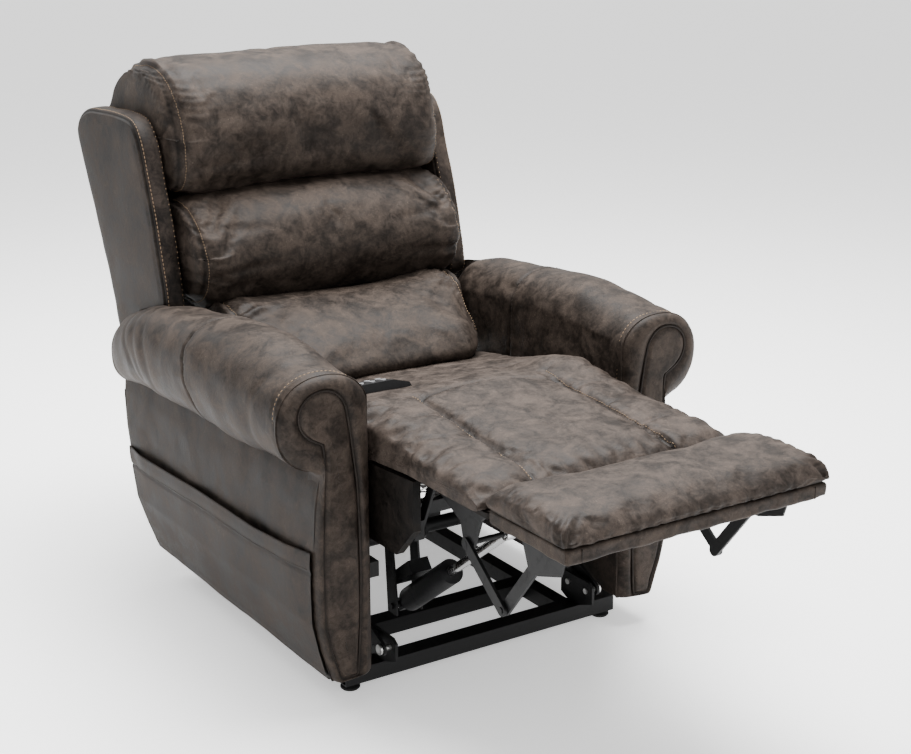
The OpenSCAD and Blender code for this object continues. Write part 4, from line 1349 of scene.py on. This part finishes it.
padLook = {"half": 0.277, "round": 0.045, "cap": 0.004, "sag": 0.0030, "gathers": 0.0026}
padCentre = [
    (-.341, .504), (-.339, .515), (-.348, .528), (-.374, .537), (-.415, .542), (-.460, .543),
    (-.505, .539), (-.538, .531), (-.556, .520), (-.561, .509), (-.557, .502), (-.540, .5005),
    (-.45, .5005), (-.352, .5005)
]
padEnd = [
    (-.346, .5035), (-.346, .508), (-.356, .517), (-.380, .525), (-.415, .529), (-.460, .530),
    (-.505, .527), (-.535, .520), (-.550, .512), (-.555, .506), (-.551, .502), (-.538, .501),
    (-.45, .501), (-.356, .501)
]


def buildFootPad():
    centre, end = matched(padCentre, padEnd, 130)
    xs, w = roundedStations(padLook["half"], padLook["round"], 0.009)
    g = loftAcross(centre, end, xs, w, bulge=0.001)
    low = np.clip((0.5035 - g[..., 2]) / 0.003, 0, 1)
    pinned = np.maximum(low, (np.abs(g[..., 0]) > padLook["half"] - 0.005))
    g = inflate("padSim", g, pinned, cap=padLook["cap"])
    g = refine(g)
    n = gridNormals(g)
    x, y, z = g[..., 0], g[..., 1], g[..., 2]
    top = np.clip((z - 0.502) / 0.008, 0, 1)
    edge = np.abs(x) - (padLook["half"] - 0.010)
    gather = wave(g * np.array([0.5, 1.0, 1.0]), 0.020, 4.4) * 2.2
    move = padLook["gathers"] * gather * np.exp(-np.abs(edge) / 0.022) * top
    front = np.exp(-((z - 0.512) / 0.010) ** 2) * (y < -0.5)
    move += 0.0012 * np.sin(2 * math.pi * x / 0.030 + 2.5 * np.sin(x * 13)) * front
    corner = np.exp(-((np.abs(x) - 0.265) / 0.03) ** 2 - ((y + 0.545) / 0.03) ** 2)
    move += 0.004 * np.sin((np.abs(x) * 0.7 + y) * 260) * corner * top
    move += top * (padLook["sag"] * wave(g, 0.12, 6.5) + 0.0009 * wave(g, 0.035, 1.5))
    g = g + n * move[..., None]
    # painted shade darkening the underside of the pad
    paintedShade = 1 - 0.75 * np.clip((0.5045 - z) / 0.003, 0, 1)
    obj = closedGrid("footrestPad", g, coverPaintedLight, paintedShade)
    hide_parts("footrest_pad")
    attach(obj, "footrest_lower")


def buildWrappedBoard(name, node, body, edge, material, softness, seed):
    # a board wrapped in leather: the board's box with soft, rounded edges
    low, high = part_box(node)
    middle, half = (low + high) / 2, (high - low) / 2
    line = []
    for cx, cz, a0 in (
        (half[1] - edge, -half[2] + edge, -90), (half[1] - edge, half[2] - edge, 0),
        (-half[1] + edge, half[2] - edge, 90), (-half[1] + edge, -half[2] + edge, 180)
    ):
        for k in range(6):
            a = math.radians(a0 + 90 * k / 5)
            line.append((cx + edge * math.cos(a), cz + edge * math.sin(a)))
    ring = evenly(np.array(line), 140, True)
    end = insetLoop(ring, edge * 0.8)
    xs, w = roundedStations(half[0], edge, 0.010)
    g = refine(loftAcross(ring, end, xs, w, capRings=4, bulge=0.0005))
    n = gridNormals(g)
    move = softness * wave(g, 0.05, seed) + softness * 0.5 * wave(g, 0.02, seed + 3)
    g = g + n * move[..., None]
    g += np.array([middle[0], middle[1] - armFrontY, middle[2]])
    obj = closedGrid(name, g, material)
    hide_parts(node)
    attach(obj, body)
    return obj


buildFootPad()
buildWrappedBoard("footrestBoard", "footrest_board", "footrest_lower", 0.006, cover, 0.0022, 3.0)
low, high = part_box("footrest_board")
for side in (-1, 1):  # corner folds of the wrapped cover
    x = side * (high[0] - 0.030)
    pipe = tube(
        "boardCornerFold" + ("Left" if side < 0 else "Right"),
        [(x, low[1] - 0.0002, z) for z in np.linspace(low[2] + 0.002, high[2] - 0.002, 8)], 0.0012, welt,
        sides=6
    )
    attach(pipe, "footrest_lower")


def buildBridge():
    # the recessed strip of cover between the seat's front pad and the footrest pad
    rows, cols = 14, 60
    grid = []
    for i in range(rows):
        t = i / (rows - 1)
        y = -0.300 + t * -0.058
        sag = 0.004 * math.sin(math.pi * t)
        grid.append(
            [
                (
                    (-0.262 + 0.524 * j / (cols - 1)), y,
                    0.482 + 0.015 * t - sag + 0.002 * noise.noise(Vector((j * 0.4, t * 2, 1)))
                )
                for j in range(cols)
            ]
        )
    top = np.array(grid)
    under = top - np.array([0, 0, 0.003])
    g = np.concatenate([top, under[::-1]])
    faces = gridFaces(len(g), cols, closed=False)
    # painted shade: the recessed strip is darkened to 0.5 all over
    obj = meshFrom("bridgeStrip", g, faces, coverPaintedShade, np.full(len(g) * cols, 0.5))
    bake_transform(obj)


buildBridge()
print("footrest ready")


# materials and soft edges on the carried-over parts

finishes = {
    "frame": (blackSteel, 0.0015, ["base_tubes", "floor_rails", "lift_brackets", "lift_motor_clevis",
        "torsion_tube", "guide_links", "seat_cross_rails", "back_brackets", "back_lever",
        "chaise_brackets", "drive_shaft",
              "footrest_brackets", "leg_links_rear", "leg_links_front", "chassis_cross_rails"]),
    "mixed": (blackSteel, 0.0012, ["lift_arms", "chassis_rails", "seat_rails"]),
    "rods": (groundSteel, 0.0008, ["lift_rod", "recline_rod", "footrest_rod"]),
    "plated": (zincPlate, 0.0008, ["lift_pivot_bolts", "seat_springs"]),
    "cases": (
        blackPlastic, 0.002,
        ["lift_motor", "recline_motor", "footrest_motor", "control_box", "glide_tracks", "handset"]
    ),
    "feet": (rubberFoot, 0.001, ["glide_feet"]),
    "boards": (plyEdge, 0.002, ["arm_frames", "head_plate"]),
    "covered": (
        coverPaintedShade, 0.005,
        ["seat_side_boards", "rear_panel", "chaise_board", "back_uprights", "back_cross_rails"]
    ),
    "keys": (silverKey, 0.0005, ["button_%d" % (i + 1) for i in range(6)]),
}
for material, edge, members in finishes.values():
    for name in members:
        obj = nodes[name]
        obj.data.materials.clear()
        obj.data.materials.append(material)
        if name not in ("seat_springs",):
            bevel = obj.modifiers.new("softEdge", "BEVEL")
            bevel.width, bevel.segments, bevel.limit_method = edge, 2, "ANGLE"
            bevel.angle_limit = math.radians(35)
print("parts finished")


# handset icons

def buildIcons():
    verts, faces = [], []
    tilt = math.radians(-12.4)  # slope of the handset on the seat
    for i in range(6):
        a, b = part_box("button_%d" % (i + 1))
        c = (a + b) / 2
        for du, dv in ((-0.004, 0.0), (0.004, 0.0), (0.0, 0.0035)):  # three small strokes beside each key
            base = len(verts)
            for s, t in ((-1, -1), (1, -1), (1, 1), (-1, 1)):
                x = c[0] + 0.011 + du * 0.6 + s * 0.0016
                y = c[1] + dv + t * 0.0010
                z = c[2] - 0.0005 + (y - c[1]) * math.tan(tilt)
                verts.append((x, y, z))
            faces.append((base, base + 1, base + 2, base + 3))
    obj = meshFrom("handsetIcons", verts, faces, silverKey, shift=False)
    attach(obj, "seat")


buildIcons()


# floor

def buildFloor():
    size = 40.0
    mesh = bpy.data.meshes.new("floor")
    pts = [(-size, -size, 0), (size, -size, 0), (size, size, 0), (-size, size, 0)]
    mesh.from_pydata(pts, [], [(0, 1, 2, 3)])
    obj = bpy.data.objects.new("floor", mesh)
    bpy.context.scene.collection.objects.link(obj)
    m, t, surface = newMaterial("paleFloor")
    soft = add(t, "ShaderNodeTexNoise", in_Scale=6.0, in_Detail=3.0)
    t.links.new(
        mixColours(t, soft.outputs[0], (0.92, 0.92, 0.92), (0.94, 0.94, 0.935)),
        surface.inputs["Base Color"]
    )
    surface.inputs["Roughness"].default_value = 0.8
    surface.inputs["Specular IOR Level"].default_value = 0.1
    surface.inputs["Emission Color"].default_value = (1, 1, 1, 1)
    surface.inputs["Emission Strength"].default_value = 0.55
    obj.data.materials.append(m)


buildFloor()
print("scene ready")
